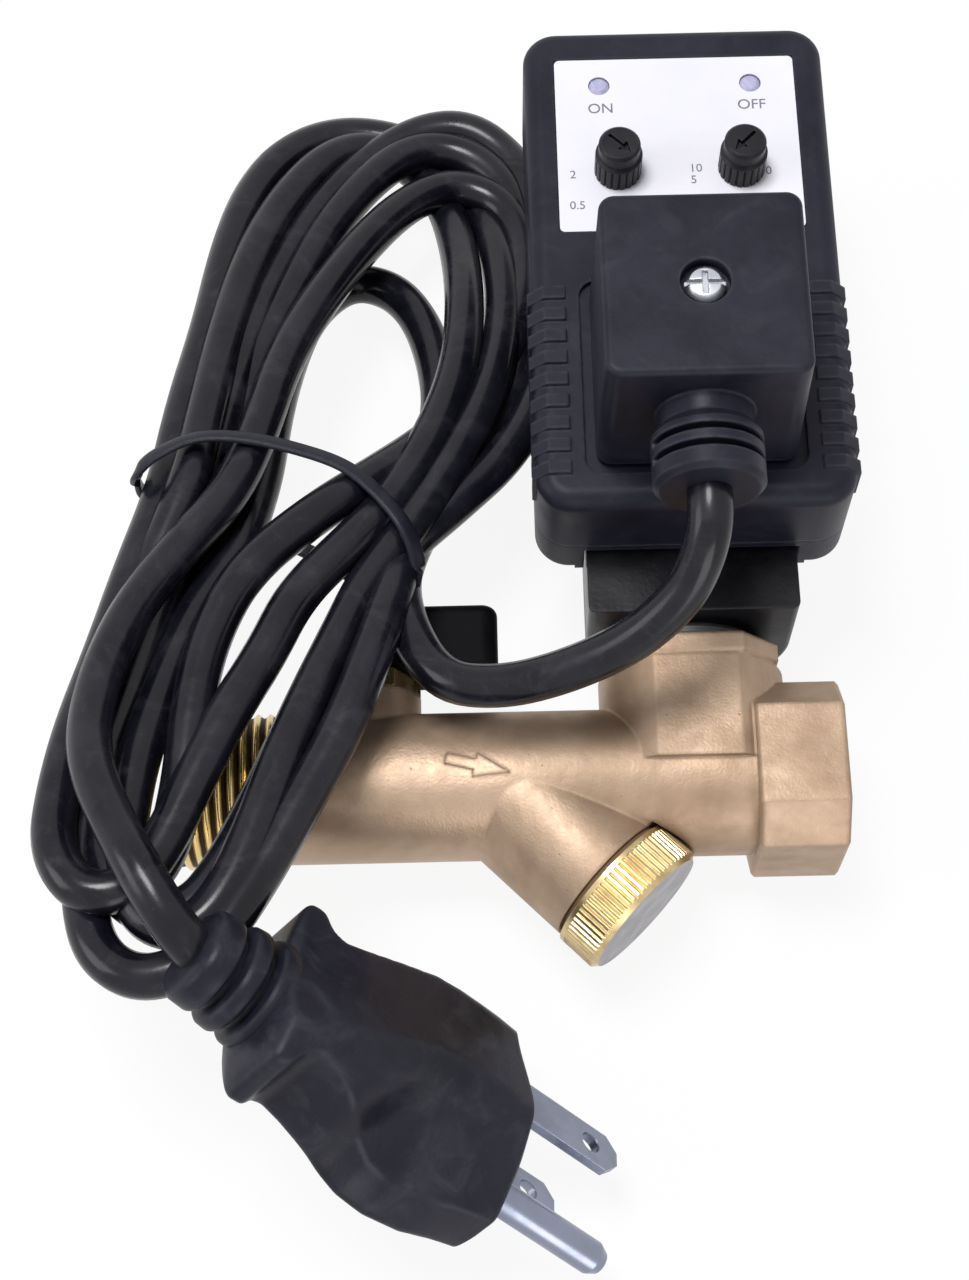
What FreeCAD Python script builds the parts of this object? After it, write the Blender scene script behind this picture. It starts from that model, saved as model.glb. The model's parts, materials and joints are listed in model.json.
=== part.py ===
import FreeCAD, Part
import math
import os
import re

import Sketcher
from FreeCAD import Placement, Rotation, Vector

# A timed electric drain valve, lying on its back as it is laid on a bench.
# +X runs along the pipe towards the outlet, +Y is up once the valve is installed (along the
# solenoid), and +Z points out of the timer's dial.  Lengths are in millimetres.
# Expressions below are measured from the crossing of the pipe axis and the solenoid axis.

SIZES = [
    # brass casting
    ("pipe_radius", 10.8, "outside radius of the pipe run"),
    ("thread_radius", 10.6, "outside radius of the inlet thread, half inch NPT"),
    ("thread_length", 15, "length of the inlet thread"),
    ("inlet_reach", 75, "solenoid axis to the inlet end"),
    ("inlet_bore", 7.6, "radius of the inlet bore and ball chamber"),
    ("outlet_start", 7.9, "solenoid axis to the outlet's octagon"),
    ("outlet_length", 12.8, "length of the outlet's octagon"),
    ("outlet_half", 12.4, "half of the outlet across its flats"),
    ("outlet_flat", 7.25, "half height of one outlet flat"),
    ("outlet_bore", 9.25, "radius of the tapped outlet"),
    ("boss_radius", 13.6, "radius of the solenoid boss"),
    ("boss_flat", 12.2, "solenoid axis to the boss's cast flats"),
    ("boss_top", 18.8, "height of the boss"),
    ("collar_height", 3.4, "height of the octagon collar on the boss"),
    ("collar_half", 12.4, "half of the collar across its flats"),
    ("collar_flat", 6.9, "half width of one collar flat"),
    ("branch_x", 27.7, "solenoid axis to where the strainer branch meets the pipe axis"),
    ("branch_radius", 10.4, "outside radius of the strainer branch"),
    ("branch_length", 20.3, "length of the strainer branch along its axis"),
    ("branch_bore", 8, "radius of the strainer bore"),
    ("passage", 4, "radius of the flow passage"),
    ("feed_radius", 1.9, "radius of the feed hole to the solenoid chamber"),
    ("feed_height", 6.2, "height of the feed hole over the pipe axis"),
    ("orifice", 1.6, "radius of the solenoid orifice"),
    ("nozzle", 3.2, "radius of the orifice nozzle"),
    ("nozzle_top", 7.2, "height of the nozzle's seat over the pipe axis"),
    ("chamber_floor", 5, "height of the chamber floor over the pipe axis"),
    ("chamber_radius", 7.2, "radius of the solenoid chamber"),
    ("chamber_step", 9, "height of the step that carries the tube seal"),
    ("base_radius", 9, "radius of the bore that takes the armature tube's base"),
    ("arrow_length", 9.4, "length of the cast flow arrow"),
    ("arrow_height", 0.45, "height of the arrow over the pipe"),
    # ball valve
    ("ball_x", 47, "solenoid axis to the ball's stem axis"),
    ("ball_radius", 7, "radius of the ball"),
    ("ball_bore", 4, "radius of the ball's bore"),
    ("seat_length", 3.4, "length of a ball seat"),
    ("retainer_length", 5, "length of the seat retainer"),
    ("stem_radius", 3.95, "radius of the ball's stem"),
    ("tang_half", 1.5, "half thickness of the stem's tang"),
    ("stem_boss_radius", 7.2, "radius of the boss round the stem"),
    ("stem_boss_top", 13.6, "height of the stem's boss"),
    ("packing_radius", 5.6, "outside radius of the stem packing"),
    ("packing_height", 2.2, "height of the stem packing"),
    ("nut_height", 3, "height of the packing nut's hexagon"),
    ("nut_half", 6.2, "half of the packing nut across its flats"),
    ("stem_top", 24.2, "height of the stem's top"),
    ("handle_base", 17.4, "underside of the handle"),
    ("handle_top", 27, "top of the handle"),
    ("handle_reach", 18.7, "stem axis to the handle's end"),
    ("handle_half", 5.4, "half width of the handle's lever"),
    ("hub_radius", 6.6, "radius of the handle's hub"),
    ("handle_wall", 2.2, "wall of the handle's lever"),
    # strainer
    ("screen_radius", 6.6, "outside radius of the strainer screen"),
    ("screen_wall", 0.4, "wall of the strainer screen"),
    ("screen_length", 22.4, "length of the strainer screen"),
    ("cap_radius", 10.9, "outside radius of the strainer cap"),
    ("cap_length", 6.6, "length of the cap's knurled band"),
    ("cap_seal_height", 0.8, "thickness of the cap's flat seal"),
    ("cap_chamfer", 0.9, "chamfer round the cap's face"),
    ("cap_plug_length", 5.6, "length of the cap's threaded plug"),
    ("knurl_count", 72, "number of knurl grooves on the cap"),
    ("knurl_depth", 0.35, "depth of a knurl groove"),
    ("seal_section", 0.75, "radius of the section of the O-rings"),
    # solenoid
    ("tube_radius", 6.5, "outside radius of the armature tube"),
    ("tube_bore", 6, "bore radius of the armature tube"),
    ("tube_flange", 11, "radius of the armature tube's flange"),
    ("flange_height", 1.3, "height of the armature tube's flange"),
    ("plunger_gap", 0.05, "radial clearance of the plunger in its tube"),
    ("plunger_length", 32, "length of the plunger"),
    ("plunger_stroke", 1.8, "travel of the plunger"),
    ("plunger_seal", 3.6, "radius of the plunger's rubber seal"),
    ("spring_radius", 2.6, "mean radius of the return spring"),
    ("spring_wire", 0.35, "radius of the return spring's wire"),
    ("spring_depth", 10, "depth of the plunger's spring pocket"),
    ("stud_radius", 4, "radius of the stud on top of the armature tube"),
    ("coil_half", 15.2, "half width of the coil and radius of its round back"),
    ("coil_base", 21, "underside of the coil"),
    ("coil_height", 43, "height of the coil"),
    ("coil_front", 14.6, "solenoid axis to the coil's front face"),
    ("coil_round", 1, "edge radius of the coil"),
    ("coil_nut_half", 6.5, "half of the coil nut across its flats"),
    ("coil_nut_height", 5, "height of the coil nut"),
    ("washer_height", 0.8, "thickness of the coil washers"),
    # timer
    ("timer_half", 22.5, "half width of the timer's case"),
    ("timer_low", 30.2, "lower end of the timer's case"),
    ("timer_length", 79.9, "length of the timer's case"),
    ("timer_back", 9.7, "back of the timer's case"),
    ("timer_seam", 17.2, "seam between the timer's two shells"),
    ("timer_front", 31, "front of the timer's case"),
    ("timer_corner", 5, "corner radius of the timer's case"),
    ("front_round", 2.6, "edge radius round the timer's front"),
    ("back_round", 1.2, "edge radius round the timer's back"),
    ("case_wall", 2, "wall of the timer's case"),
    ("rib_count", 9, "number of grip ribs on each side"),
    ("rib_pitch", 3.5, "distance from rib to rib"),
    ("rib_low", 37.9, "height of the lowest rib"),
    ("rib_width", 2, "width of a rib"),
    ("rib_height", 0.5, "height of a rib over the case"),
    ("rib_inner", 17.2, "solenoid axis to a rib's inner end"),
    ("label_half", 17.9, "half width of the dial label"),
    ("label_low", 74.2, "lower edge of the dial label"),
    ("label_length", 30, "length of the dial label"),
    ("label_thickness", 0.25, "thickness of the dial label"),
    ("led_x", 11.3, "solenoid axis to each lamp"),
    ("led_y", 99.5, "height of the lamps"),
    ("led_radius", 1.5, "radius of a lamp"),
    ("knob_x", 9.1, "solenoid axis to each knob"),
    ("knob_y", 84.5, "height of the knobs"),
    ("knob_radius", 3.45, "radius of a knob at its base"),
    ("knob_tip", 3.05, "radius of a knob at its top"),
    ("knob_height", 7, "height of a knob over the label"),
    ("knob_shaft", 2, "radius of a knob's shaft"),
    ("knob_ribs", 20, "number of ribs round a knob"),
    ("pot_half", 4.6, "half width of a potentiometer"),
    ("board_level", 21.4, "back face of the circuit board"),
    ("board_thickness", 1.6, "thickness of the circuit board"),
    ("shaft_gap", 0.06, "radial clearance of a knob's shaft"),
    ("test_y", 93, "height of the test switch"),
    ("test_half", 3, "half width of the test switch"),
    ("test_travel", 0.3, "travel of the test switch's plunger"),
    ("test_radius", 1.6, "radius of the test switch's plunger"),
    # connector
    ("plug_y", 50.4, "height of the connector's centre"),
    ("plug_base_half", 14.1, "half width of the connector at its base"),
    ("plug_front_half", 13.7, "half width of the connector at its front"),
    ("plug_half_height", 14.2, "half height of the connector at its base"),
    ("plug_front", 56, "front of the connector"),
    ("plug_corner", 2.2, "corner radius of the connector"),
    ("plug_wall", 2, "wall of the connector"),
    ("recess_half", 15.6, "half width of the recess round the connector"),
    ("recess_height", 15.5, "half height of the recess round the connector"),
    ("recess_depth", 0.9, "depth of the recess round the connector"),
    ("gasket_thickness", 1, "thickness of the flat gaskets"),
    ("gasket_half", 13, "half width of the flat gaskets"),
    ("screw_radius", 1.5, "radius of the long screw"),
    ("screw_hole", 1.75, "radius of the holes for the long screw"),
    ("screw_head", 2.8, "radius of the long screw's head"),
    ("head_recess", 3.4, "radius of the recess for the screw's head"),
    ("head_depth", 2, "depth of the recess for the screw's head"),
    ("screw_end", 6, "depth of the long screw in the coil"),
    ("blade_half", 3.15, "half width of a flat terminal"),
    ("blade_thickness", 0.8, "thickness of a flat terminal"),
    ("blade_x", 9, "connector's centre to each side terminal"),
    ("relief_level", 45, "axis of the strain relief over the solenoid axis"),
    ("relief_end", 25, "end of the strain relief"),
    ("relief_radius", 7.6, "radius of the strain relief's collars"),
    ("relief_neck", 6.4, "radius of the strain relief's neck"),
    ("slot_width", 1, "width of the strain relief's slots"),
    # cord, plug and hank
    ("cord_radius", 3.1, "radius of the cord"),
    ("hank_half", 6, "half thickness of the hank"),
    ("hank_tilt", 12.8, "slope of the hank in degrees"),
    ("hank_level", 24.4, "height of the hank's middle over the bench"),
    ("tie_width", 3, "width of the twist tie"),
    ("tie_thickness", 0.9, "thickness of the twist tie"),
    ("mains_radius", 6.2, "radius of the mains plug's strain relief"),
    ("mains_relief", 14.6, "length of the mains plug's strain relief"),
    ("mains_length", 35, "length of the mains plug's body"),
    ("mains_half", 13, "half width of the mains plug's face"),
    ("mains_thick", 9.6, "half thickness of the mains plug's face"),
    ("flange_half", 14.5, "half width of the mains plug's finger flange"),
    ("pin_radius", 2.4, "radius of the earth pin"),
    ("pin_length", 21, "length of the earth pin"),
    ("pin_offset", 7.4, "plug axis to the earth pin"),
    ("prong_length", 17.5, "length of a flat prong"),
    ("prong_half", 3.15, "half width of a flat prong"),
    ("prong_thickness", 1.5, "thickness of a flat prong"),
    ("prong_spacing", 12.7, "distance between the flat prongs"),
    ("prong_offset", 4.5, "plug axis to the flat prongs"),
]

DOC = FreeCAD.newDocument("DrainValve")
NAMES = {alias for alias, _, _ in SIZES}
WORDS = re.compile(r"[a-z_]+")

# The valve's own box, without its cord, is centred on the origin and stands on z = 0.
ORIGIN_X = "(inlet_reach - timer_half - rib_height) / 2"
CAP_DROP = "(branch_length + cap_seal_height + cap_length + cap_radius - cap_chamfer) * cos(45)"
ORIGIN_Y = f"({CAP_DROP} - timer_low - timer_length) / 2"
ORIGIN_Z = "coil_half"

ALONG = {
    "x": Rotation(Vector(0, 1, 0), 90),
    "y": Rotation(Vector(1, 0, 0), -90),
    "z": Rotation(),
    "branch": Rotation(Vector(0, 0, 1), Vector(1, -1, 0)),
}
STEP_ALONG = {
    "x": ("{0}", "0", "0"),
    "y": ("0", "{0}", "0"),
    "z": ("0", "0", "{0}"),
    "branch": ("({0}) * cos(45)", "-({0}) * cos(45)", "0"),
}
PARTS = {}


def fill_sheet():
    sheet = DOC.addObject("Spreadsheet::Sheet", "Sizes")
    for row, (alias, value, meaning) in enumerate(SIZES, start=1):
        sheet.set(f"A{row}", meaning)
        sheet.set(f"B{row}", str(value))
        sheet.setAlias(f"B{row}", alias)
    DOC.recompute()
    return sheet


SHEET = fill_sheet()


def sized(expression):
    """The expression with every name of a size turned into its cell."""
    return WORDS.sub(lambda word: f"Sizes.{word[0]}" if word[0] in NAMES else word[0], str(expression))


def number(expression):
    return float(SHEET.evalExpression(sized(expression)))


def refresh(*things):
    for thing in things:
        thing.recompute()


def bind(thing, **sizes):
    for prop, expression in sizes.items():
        setattr(thing, prop, number(expression))
        thing.setExpression(prop, sized(expression))


def place(thing, x="0", y="0", z="0", turn=None):
    """Puts a thing at a point of the valve, turned about its own origin."""
    spot = {"x": f"{x} + {ORIGIN_X}", "y": f"{y} + {ORIGIN_Y}", "z": f"{z} + {ORIGIN_Z}"}
    thing.Placement = Placement(Vector(*[number(s) for s in spot.values()]), turn or Rotation())
    for axis, expression in spot.items():
        thing.setExpression(f"Placement.Base.{axis}", sized(expression))


def keep(node, thing):
    thing.Label = node
    PARTS[node] = thing
    return thing


def rod(name, radius, low, high, axis="z", at=("0", "0", "0")):
    """A cylinder from low to high along an axis that passes through a point."""
    thing = DOC.addObject("Part::Cylinder", name)
    bind(thing, Radius=radius, Height=f"({high}) - ({low})")
    start = [f"({a}) + {step.format(low)}" for a, step in zip(at, STEP_ALONG[axis])]
    place(thing, *start, ALONG[axis])
    return thing


def block(name, x, y, z):
    """A box between two expressions along each axis."""
    thing = DOC.addObject("Part::Box", name)
    spans = {"Length": x, "Width": y, "Height": z}
    bind(thing, **{prop: f"({high}) - ({low})" for prop, (low, high) in spans.items()})
    place(thing, x[0], y[0], z[0])
    return thing


def fuse(name, *things):
    thing = DOC.addObject("Part::MultiFuse", name)
    thing.Shapes = list(things)
    thing.Refine = True
    return thing


def cut(name, base, *tools):
    tool = tools[0] if len(tools) == 1 else fuse(name + "Tools", *tools)
    thing = DOC.addObject("Part::Cut", name)
    thing.Base, thing.Tool = base, tool
    return thing


def soften(name, base, test, radius):
    """Rounds the edges of a plain shape that pass a test."""
    thing = DOC.addObject("Part::Fillet", name)
    thing.Base = base
    size = number(radius)
    thing.Edges = [(i, size, size) for i, edge in enumerate(base.Shape.Edges, start=1) if test(edge)]
    refresh(thing)
    return thing


def origin_plane(body, role):
    return next(f for f in body.Origin.OriginFeatures if f.Role == role)


def new_body(name, x="0", y="0", z="0", turn=None):
    body = DOC.addObject("PartDesign::Body", name)
    place(body, x, y, z, turn)
    return body


def new_sketch(body, name, plane, lift="0"):
    sketch = body.newObject("Sketcher::SketchObject", name)
    sketch.AttachmentSupport = [(origin_plane(body, plane), "")]
    sketch.MapMode = "FlatFace"
    sketch.AttachmentOffset = Placement(Vector(0, 0, number(lift)), Rotation())
    sketch.setExpression("AttachmentOffset.Base.z", sized(lift))
    return sketch


def pin_point(sketch, geometry, end, x, y):
    """Ties one point of a sketch to two expressions."""
    for kind, expression in (("DistanceX", x), ("DistanceY", y)):
        index = sketch.addConstraint(Sketcher.Constraint(kind, -1, 1, geometry, end, number(expression)))
        sketch.setExpression(f"Constraints[{index}]", sized(expression))


def draw_outline(sketch, points):
    corners = [Vector(number(x), number(y), 0) for x, y in points]
    first = sketch.GeometryCount
    count = len(points)
    for i in range(count):
        sketch.addGeometry(Part.LineSegment(corners[i], corners[(i + 1) % count]), False)
    for i in range(count):
        sketch.addConstraint(Sketcher.Constraint("Coincident", first + i, 2, first + (i + 1) % count, 1))
    for i, (x, y) in enumerate(points):
        pin_point(sketch, first + i, 1, x, y)


def outline(body, name, points, plane="XY_Plane", lift="0"):
    sketch = new_sketch(body, name, plane, lift)
    draw_outline(sketch, points)
    return sketch


def discs(body, name, spots, plane="XY_Plane", lift="0"):
    """A sketch of circles, each given as x, y and radius."""
    sketch = new_sketch(body, name, plane, lift)
    for x, y, radius in spots:
        index = sketch.addGeometry(Part.Circle(Vector(number(x), number(y), 0), Vector(0, 0, 1),
                                               number(radius)), False)
        pin_point(sketch, index, 3, x, y)
        row = sketch.addConstraint(Sketcher.Constraint("Radius", index, number(radius)))
        sketch.setExpression(f"Constraints[{row}]", sized(radius))
    return sketch


def rectangle(x_low, x_high, y_low, y_high):
    return [(x_low, y_low), (x_high, y_low), (x_high, y_high), (x_low, y_high)]


def feature(body, kind, name, profile, **sizes):
    thing = body.newObject(f"PartDesign::{kind}", name)
    thing.Profile = profile
    bind(thing, **sizes)
    return thing


def pad(body, name, sketch, length, back=False, both=False):
    thing = feature(body, "Pad", name, sketch, Length=length)
    thing.Reversed, thing.Midplane = back, both
    refresh(sketch, thing)
    return thing


def pocket(body, name, sketch, depth=None, up=False):
    """A pocket that goes down from its sketch, or up; without a depth it goes right through."""
    thing = feature(body, "Pocket", name, sketch)
    thing.Reversed = up
    if depth is None:
        thing.Type = "ThroughAll"
        thing.Midplane = True
    else:
        bind(thing, Length=depth)
    refresh(sketch, thing)
    return thing


def turned(name, points, axis="z", at=("0", "0", "0")):
    """A body of revolution: points are radius and height along the axis."""
    body = new_body(name, *at, ALONG[axis])
    sketch = outline(body, name + "Profile", points, "XZ_Plane")
    spin = body.newObject("PartDesign::Revolution", name + "Turn")
    spin.Profile = sketch
    spin.ReferenceAxis = (sketch, ["V_Axis"])
    spin.Angle = 360
    refresh(sketch, spin)
    return body


def ring(name, outer, inner, low, high, axis="z", at=("0", "0", "0")):
    return turned(name, [(inner, low), (outer, low), (outer, high), (inner, high)], axis, at)


def edges(thing, test):
    return [f"Edge{i}" for i, edge in enumerate(thing.Shape.Edges, start=1) if test(edge)]


def middle(edge):
    return edge.valueAt((edge.FirstParameter + edge.LastParameter) / 2)


def is_along(edge, direction):
    if not isinstance(edge.Curve, Part.Line):
        return False
    return abs(edge.tangentAt(edge.FirstParameter).dot(direction)) > 0.99


def dress(body, kind, name, base, test, **sizes):
    thing = body.newObject(f"PartDesign::{kind}", name)
    thing.Base = (base, edges(base, test))
    bind(thing, **sizes)
    body.Tip = thing
    refresh(thing)
    return thing


def fillet(body, name, base, test, radius):
    return dress(body, "Fillet", name, base, test, Radius=radius)


def chamfer(body, name, base, test, size):
    return dress(body, "Chamfer", name, base, test, Size=size)


X_AXIS, Y_AXIS, Z_AXIS = Vector(1, 0, 0), Vector(0, 1, 0), Vector(0, 0, 1)
STEM = ("-ball_x", "0", "0")
BRANCH = ("-branch_x", "0", "0")


# The brass casting

def chamfered_square(half, flat):
    """The corners of a square bar whose edges are cut off, as the collar and the outlet are."""
    return [
        (half, f"-{flat}"), (half, flat), (flat, half), (f"-{flat}", half),
        (f"-{half}", flat), (f"-{half}", f"-{flat}"), (f"-{flat}", f"-{half}"), (flat, f"-{half}"),
    ]


def octagon_bar(name, half, flat, low, length, axis):
    body = new_body(name, *[step.format(low) for step in STEP_ALONG[axis]], ALONG[axis])
    bar = pad(body, name + "Pad", outline(body, name + "Outline", chamfered_square(half, flat)), length)
    chamfer(body, name + "Edges", bar, lambda e: not is_along(e, Z_AXIS), "0.5")
    return body


def cast_arrow():
    """The raised arrow on the front of the pipe; it points at the outlet."""
    body = new_body("Arrow", "-branch_x - arrow_length * 0.9", "0.6", "pipe_radius - 1.5",
                    Rotation(Z_AXIS, -14))
    shaft, head, barb = "0.8", "arrow_length", "1.8"
    neck = "arrow_length * 0.45"
    points = [("0", f"-{shaft}"), (neck, f"-{shaft}"), (neck, f"-{barb}"), (head, "0"),
              (neck, barb), (neck, shaft), ("0", shaft)]
    arrow = pad(body, "ArrowPad", outline(body, "ArrowOutline", points), "1.5 + arrow_height")
    fillet(body, "ArrowEdges", arrow, lambda e: middle(e).z > number("1.4 + arrow_height"), "0.2")
    return body


def valve_body():
    pipe = rod("Pipe", "pipe_radius", "-inlet_reach + thread_length", "outlet_start + 0.5", "x")
    nose = rod("InletThread", "thread_radius", "-inlet_reach", "-inlet_reach + thread_length", "x")
    branch = rod("Branch", "branch_radius", "-2", "branch_length", "branch", BRANCH)
    post = rod("BossPost", "boss_radius", "0", "boss_top - collar_height", "y")
    flats = block("BossFlats", ("-boss_radius", "boss_radius"), ("-1", "boss_top"),
                  ("-boss_flat", "boss_flat"))
    boss = DOC.addObject("Part::Common", "Boss")
    boss.Base, boss.Tool = post, flats
    stem_boss = rod("StemBoss", "stem_boss_radius", "0", "stem_boss_top", "y", STEM)
    collar = octagon_bar("Collar", "collar_half", "collar_flat", "boss_top - collar_height",
                         "collar_height", "y")
    outlet = octagon_bar("Outlet", "outlet_half", "outlet_flat", "outlet_start", "outlet_length", "x")
    outside = fuse("Casting", pipe, branch, boss, stem_boss, nose, collar, outlet, cast_arrow())
    bores = [
        rod("InletBore", "inlet_bore", "-inlet_reach - 1", "seat_length + ball_radius * 0.65 - ball_x",
            "x"),
        rod("Passage", "passage", "-ball_x", "-branch_x", "x"),
        rod("BranchBore", "branch_bore", "-2", "branch_length + 1", "branch", BRANCH),
        rod("CapClearance", "cap_radius + 0.4", "branch_length", "branch_length + 30", "branch", BRANCH),
        rod("Feed", "feed_radius", "-branch_x + 4", "-nozzle - 1", "x", ("0", "feed_height", "0")),
        cut("Chamber", rod("ChamberHole", "chamber_radius", "chamber_floor", "boss_top + 1", "y"),
            rod("Nozzle", "nozzle", "chamber_floor - 1", "nozzle_top", "y")),
        rod("Orifice", "orifice", "0", "nozzle_top + 1", "y"),
        rod("BaseBore", "base_radius", "chamber_step", "boss_top + 1", "y"),
        rod("OutletPassage", "passage", "-2", "outlet_start + 1", "x"),
        rod("OutletBore", "outlet_bore", "outlet_start + 0.4", "outlet_start + outlet_length + 1", "x"),
        rod("StemHole", "stem_radius + 0.05", "0", "stem_boss_top + 1", "y", STEM),
        rod("PackingBore", "packing_radius + 0.05", "stem_boss_top - packing_height - 1",
            "stem_boss_top + 1",
            "y", STEM),
    ]
    return keep("valve_body", cut("ValveBody", outside, *bores))


# The ball valve in the inlet

def ball():
    sphere = DOC.addObject("Part::Sphere", "BallSphere")
    bind(sphere, Radius="ball_radius")
    place(sphere, *STEM, ALONG["x"])
    slot = block("BallSlot", ("-ball_x - stem_radius - 2", "-ball_x + stem_radius + 2"),
                 ("ball_radius - 2", "ball_radius + 1"), ("-tang_half - 0.05", "tang_half + 0.05"))
    bore = rod("BallBore", "ball_bore", "-ball_x - ball_radius - 1", "-ball_x + ball_radius + 1", "x")
    keep("ball", cut("Ball", sphere, bore, slot))


def seat(node, name, side):
    """A plastic ring that bears on the ball; side is -1 upstream and 1 downstream."""
    near, far = "ball_radius * 0.65", "ball_radius * 0.65 + seat_length"
    span = (near, far) if side > 0 else (f"-({far})", f"-({near})")
    blank = ring(name + "Blank", "inlet_bore - 0.05", "ball_bore + 0.3", *span, "x", STEM)
    sphere = DOC.addObject("Part::Sphere", name + "Face")
    bind(sphere, Radius="ball_radius + 0.05")
    place(sphere, *STEM)
    keep(node, cut(name, blank, sphere))


def seat_retainer():
    face = "ball_radius * 0.65 + seat_length"
    body = ring("Retainer", "inlet_bore - 0.05", "ball_bore + 1", f"-({face}) - retainer_length",
                f"-({face})",
                "x", STEM)
    slot = outline(body, "RetainerSlot", rectangle("-1", "1", "-inlet_bore", "inlet_bore"),
                   lift=f"-({face}) - retainer_length")
    pocket(body, "RetainerSlotCut", slot, "1.6", up=True)
    keep("seat_retainer", body)


def ball_stem():
    shaft = rod("StemShaft", "stem_radius", "ball_radius + 0.1", "stem_top", "y", STEM)
    tang = block("StemTang", ("-ball_x - stem_radius + 0.35", "-ball_x + stem_radius - 0.35"),
                 ("ball_radius - 1.8", "ball_radius + 0.2"), ("-tang_half", "tang_half"))
    flats = [
        block(f"StemFlat{i}", ("-ball_x - 5", "-ball_x + 5"), ("handle_base - 0.1", "stem_top + 1"), span)
        for i, span in enumerate((("-6", "-stem_radius * 0.7"), ("stem_radius * 0.7", "6")))
    ]
    tapped = rod("StemTapped", "1.6", "stem_top - 6", "stem_top + 1", "y", STEM)
    keep("ball_stem", cut("Stem", fuse("StemBlank", shaft, tang), tapped, *flats))


def stem_packing():
    low = "stem_boss_top - packing_height - 1"
    keep("stem_packing", ring("Packing", "packing_radius", "stem_radius + 0.03", low,
                              f"{low} + packing_height",
                              "y", STEM))


def hexagon(half):
    """The corners of a hexagon given half its width across flats."""
    long, short = f"{half} / cos(30)", f"{half} * tan(30)"
    return [(long, "0"), (short, half), (f"-{short}", half), (f"-{long}", "0"),
            (f"-{short}", f"-{half}"), (short, f"-{half}")]


def nut(name, half, height, bore, at):
    """A hexagon nut that stands along +Y with its corners eased."""
    body = new_body(name, *at, ALONG["y"])
    pad(body, name + "Pad", outline(body, name + "Outline", hexagon(half)), height)
    pocket(body, name + "Bore", discs(body, name + "Hole", [("0", "0", bore)]))
    chamfer(body, name + "Ease", body.Tip, lambda e: is_top_flat(e, number(height)), "0.5")
    return body


def is_top_flat(edge, height):
    return isinstance(edge.Curve, Part.Line) and min(v.Point.z for v in edge.Vertexes) > height - 0.01


def packing_nut():
    hexagon_part = nut("GlandNut", "nut_half", "nut_height", "stem_radius + 0.05",
                       ("-ball_x", "stem_boss_top + 0.2", "0"))
    skirt = ring("GlandSkirt", "packing_radius", "stem_radius + 0.05", "stem_boss_top - 0.9",
                 "stem_boss_top + 0.4", "y", STEM)
    keep("packing_nut", fuse("PackingNut", hexagon_part, skirt))


def valve_handle():
    """A hollow plastic lever whose hub sits on the flats of the stem."""
    body = new_body("Handle", "-ball_x", "handle_base", "0", ALONG["y"])
    reach, half = "handle_reach", "handle_half"
    height = "handle_top - handle_base"
    pad(body, "LeverPad", outline(body, "LeverOutline", rectangle("0", reach, f"-{half}", half)), height)
    hub = pad(body, "HubPad", discs(body, "HubOutline", [("0", "0", "hub_radius")]), height)
    soft = fillet(body, "HandleEnds", hub, lambda e: is_along(e, Z_AXIS)
                  and middle(e).x > number("handle_reach") - 0.1, "2.4")
    top = number(height)
    soft = fillet(body, "HandleTop", soft, lambda e: middle(e).z > top - 0.01, "1.6")
    hollow = outline(body, "LeverHollow", rectangle("hub_radius + 0.6", "handle_reach - handle_wall",
                                                    "-handle_half + handle_wall",
                                                    "handle_half - handle_wall"))
    pocket(body, "LeverHollowCut", hollow, f"{height} - handle_wall", up=True)
    socket = outline(body, "StemSocket", rectangle("-stem_radius - 0.05", "stem_radius + 0.05",
                                                   "-stem_radius * 0.7 - 0.05", "stem_radius * 0.7 + 0.05"))
    pocket(body, "StemSocketCut", socket, "stem_top - handle_base + 0.1", up=True)
    pocket(body, "HandleScrewHole", discs(body, "HandleScrewDisc", [("0", "0", "2.1")]))
    pocket(body, "HandleScrewSeat", discs(body, "HandleScrewSeatDisc", [("0", "0", "4")], lift=height),
           "1.4")
    keep("valve_handle", body)


def handle_screw():
    seat_level = "handle_top - 1.4"
    body = turned("HandleScrew", [("0", "stem_top - 5.5"), ("1.55", "stem_top - 5.5"), ("1.55", "stem_top"),
                                  ("1.9", "stem_top"), ("1.9", f"{seat_level} + 0.05"),
                                  ("3.6", f"{seat_level} + 0.05"), ("3.2", "handle_top + 0.6"),
                                  ("0", "handle_top + 0.9")], "y", STEM)
    cross = new_sketch(body, "HandleScrewCross", "XY_Plane", "handle_top + 1")
    draw_outline(cross, rectangle("-2", "2", "-0.4", "0.4"))
    pocket(body, "HandleScrewSlot", cross, "1")
    keep("handle_screw", body)


# The strainer

def strainer_screen():
    low = "-1.8"
    keep("strainer_screen", ring("Screen", "screen_radius", "screen_radius - screen_wall", low,
                                 f"{low} + screen_length", "branch", BRANCH))


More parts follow.
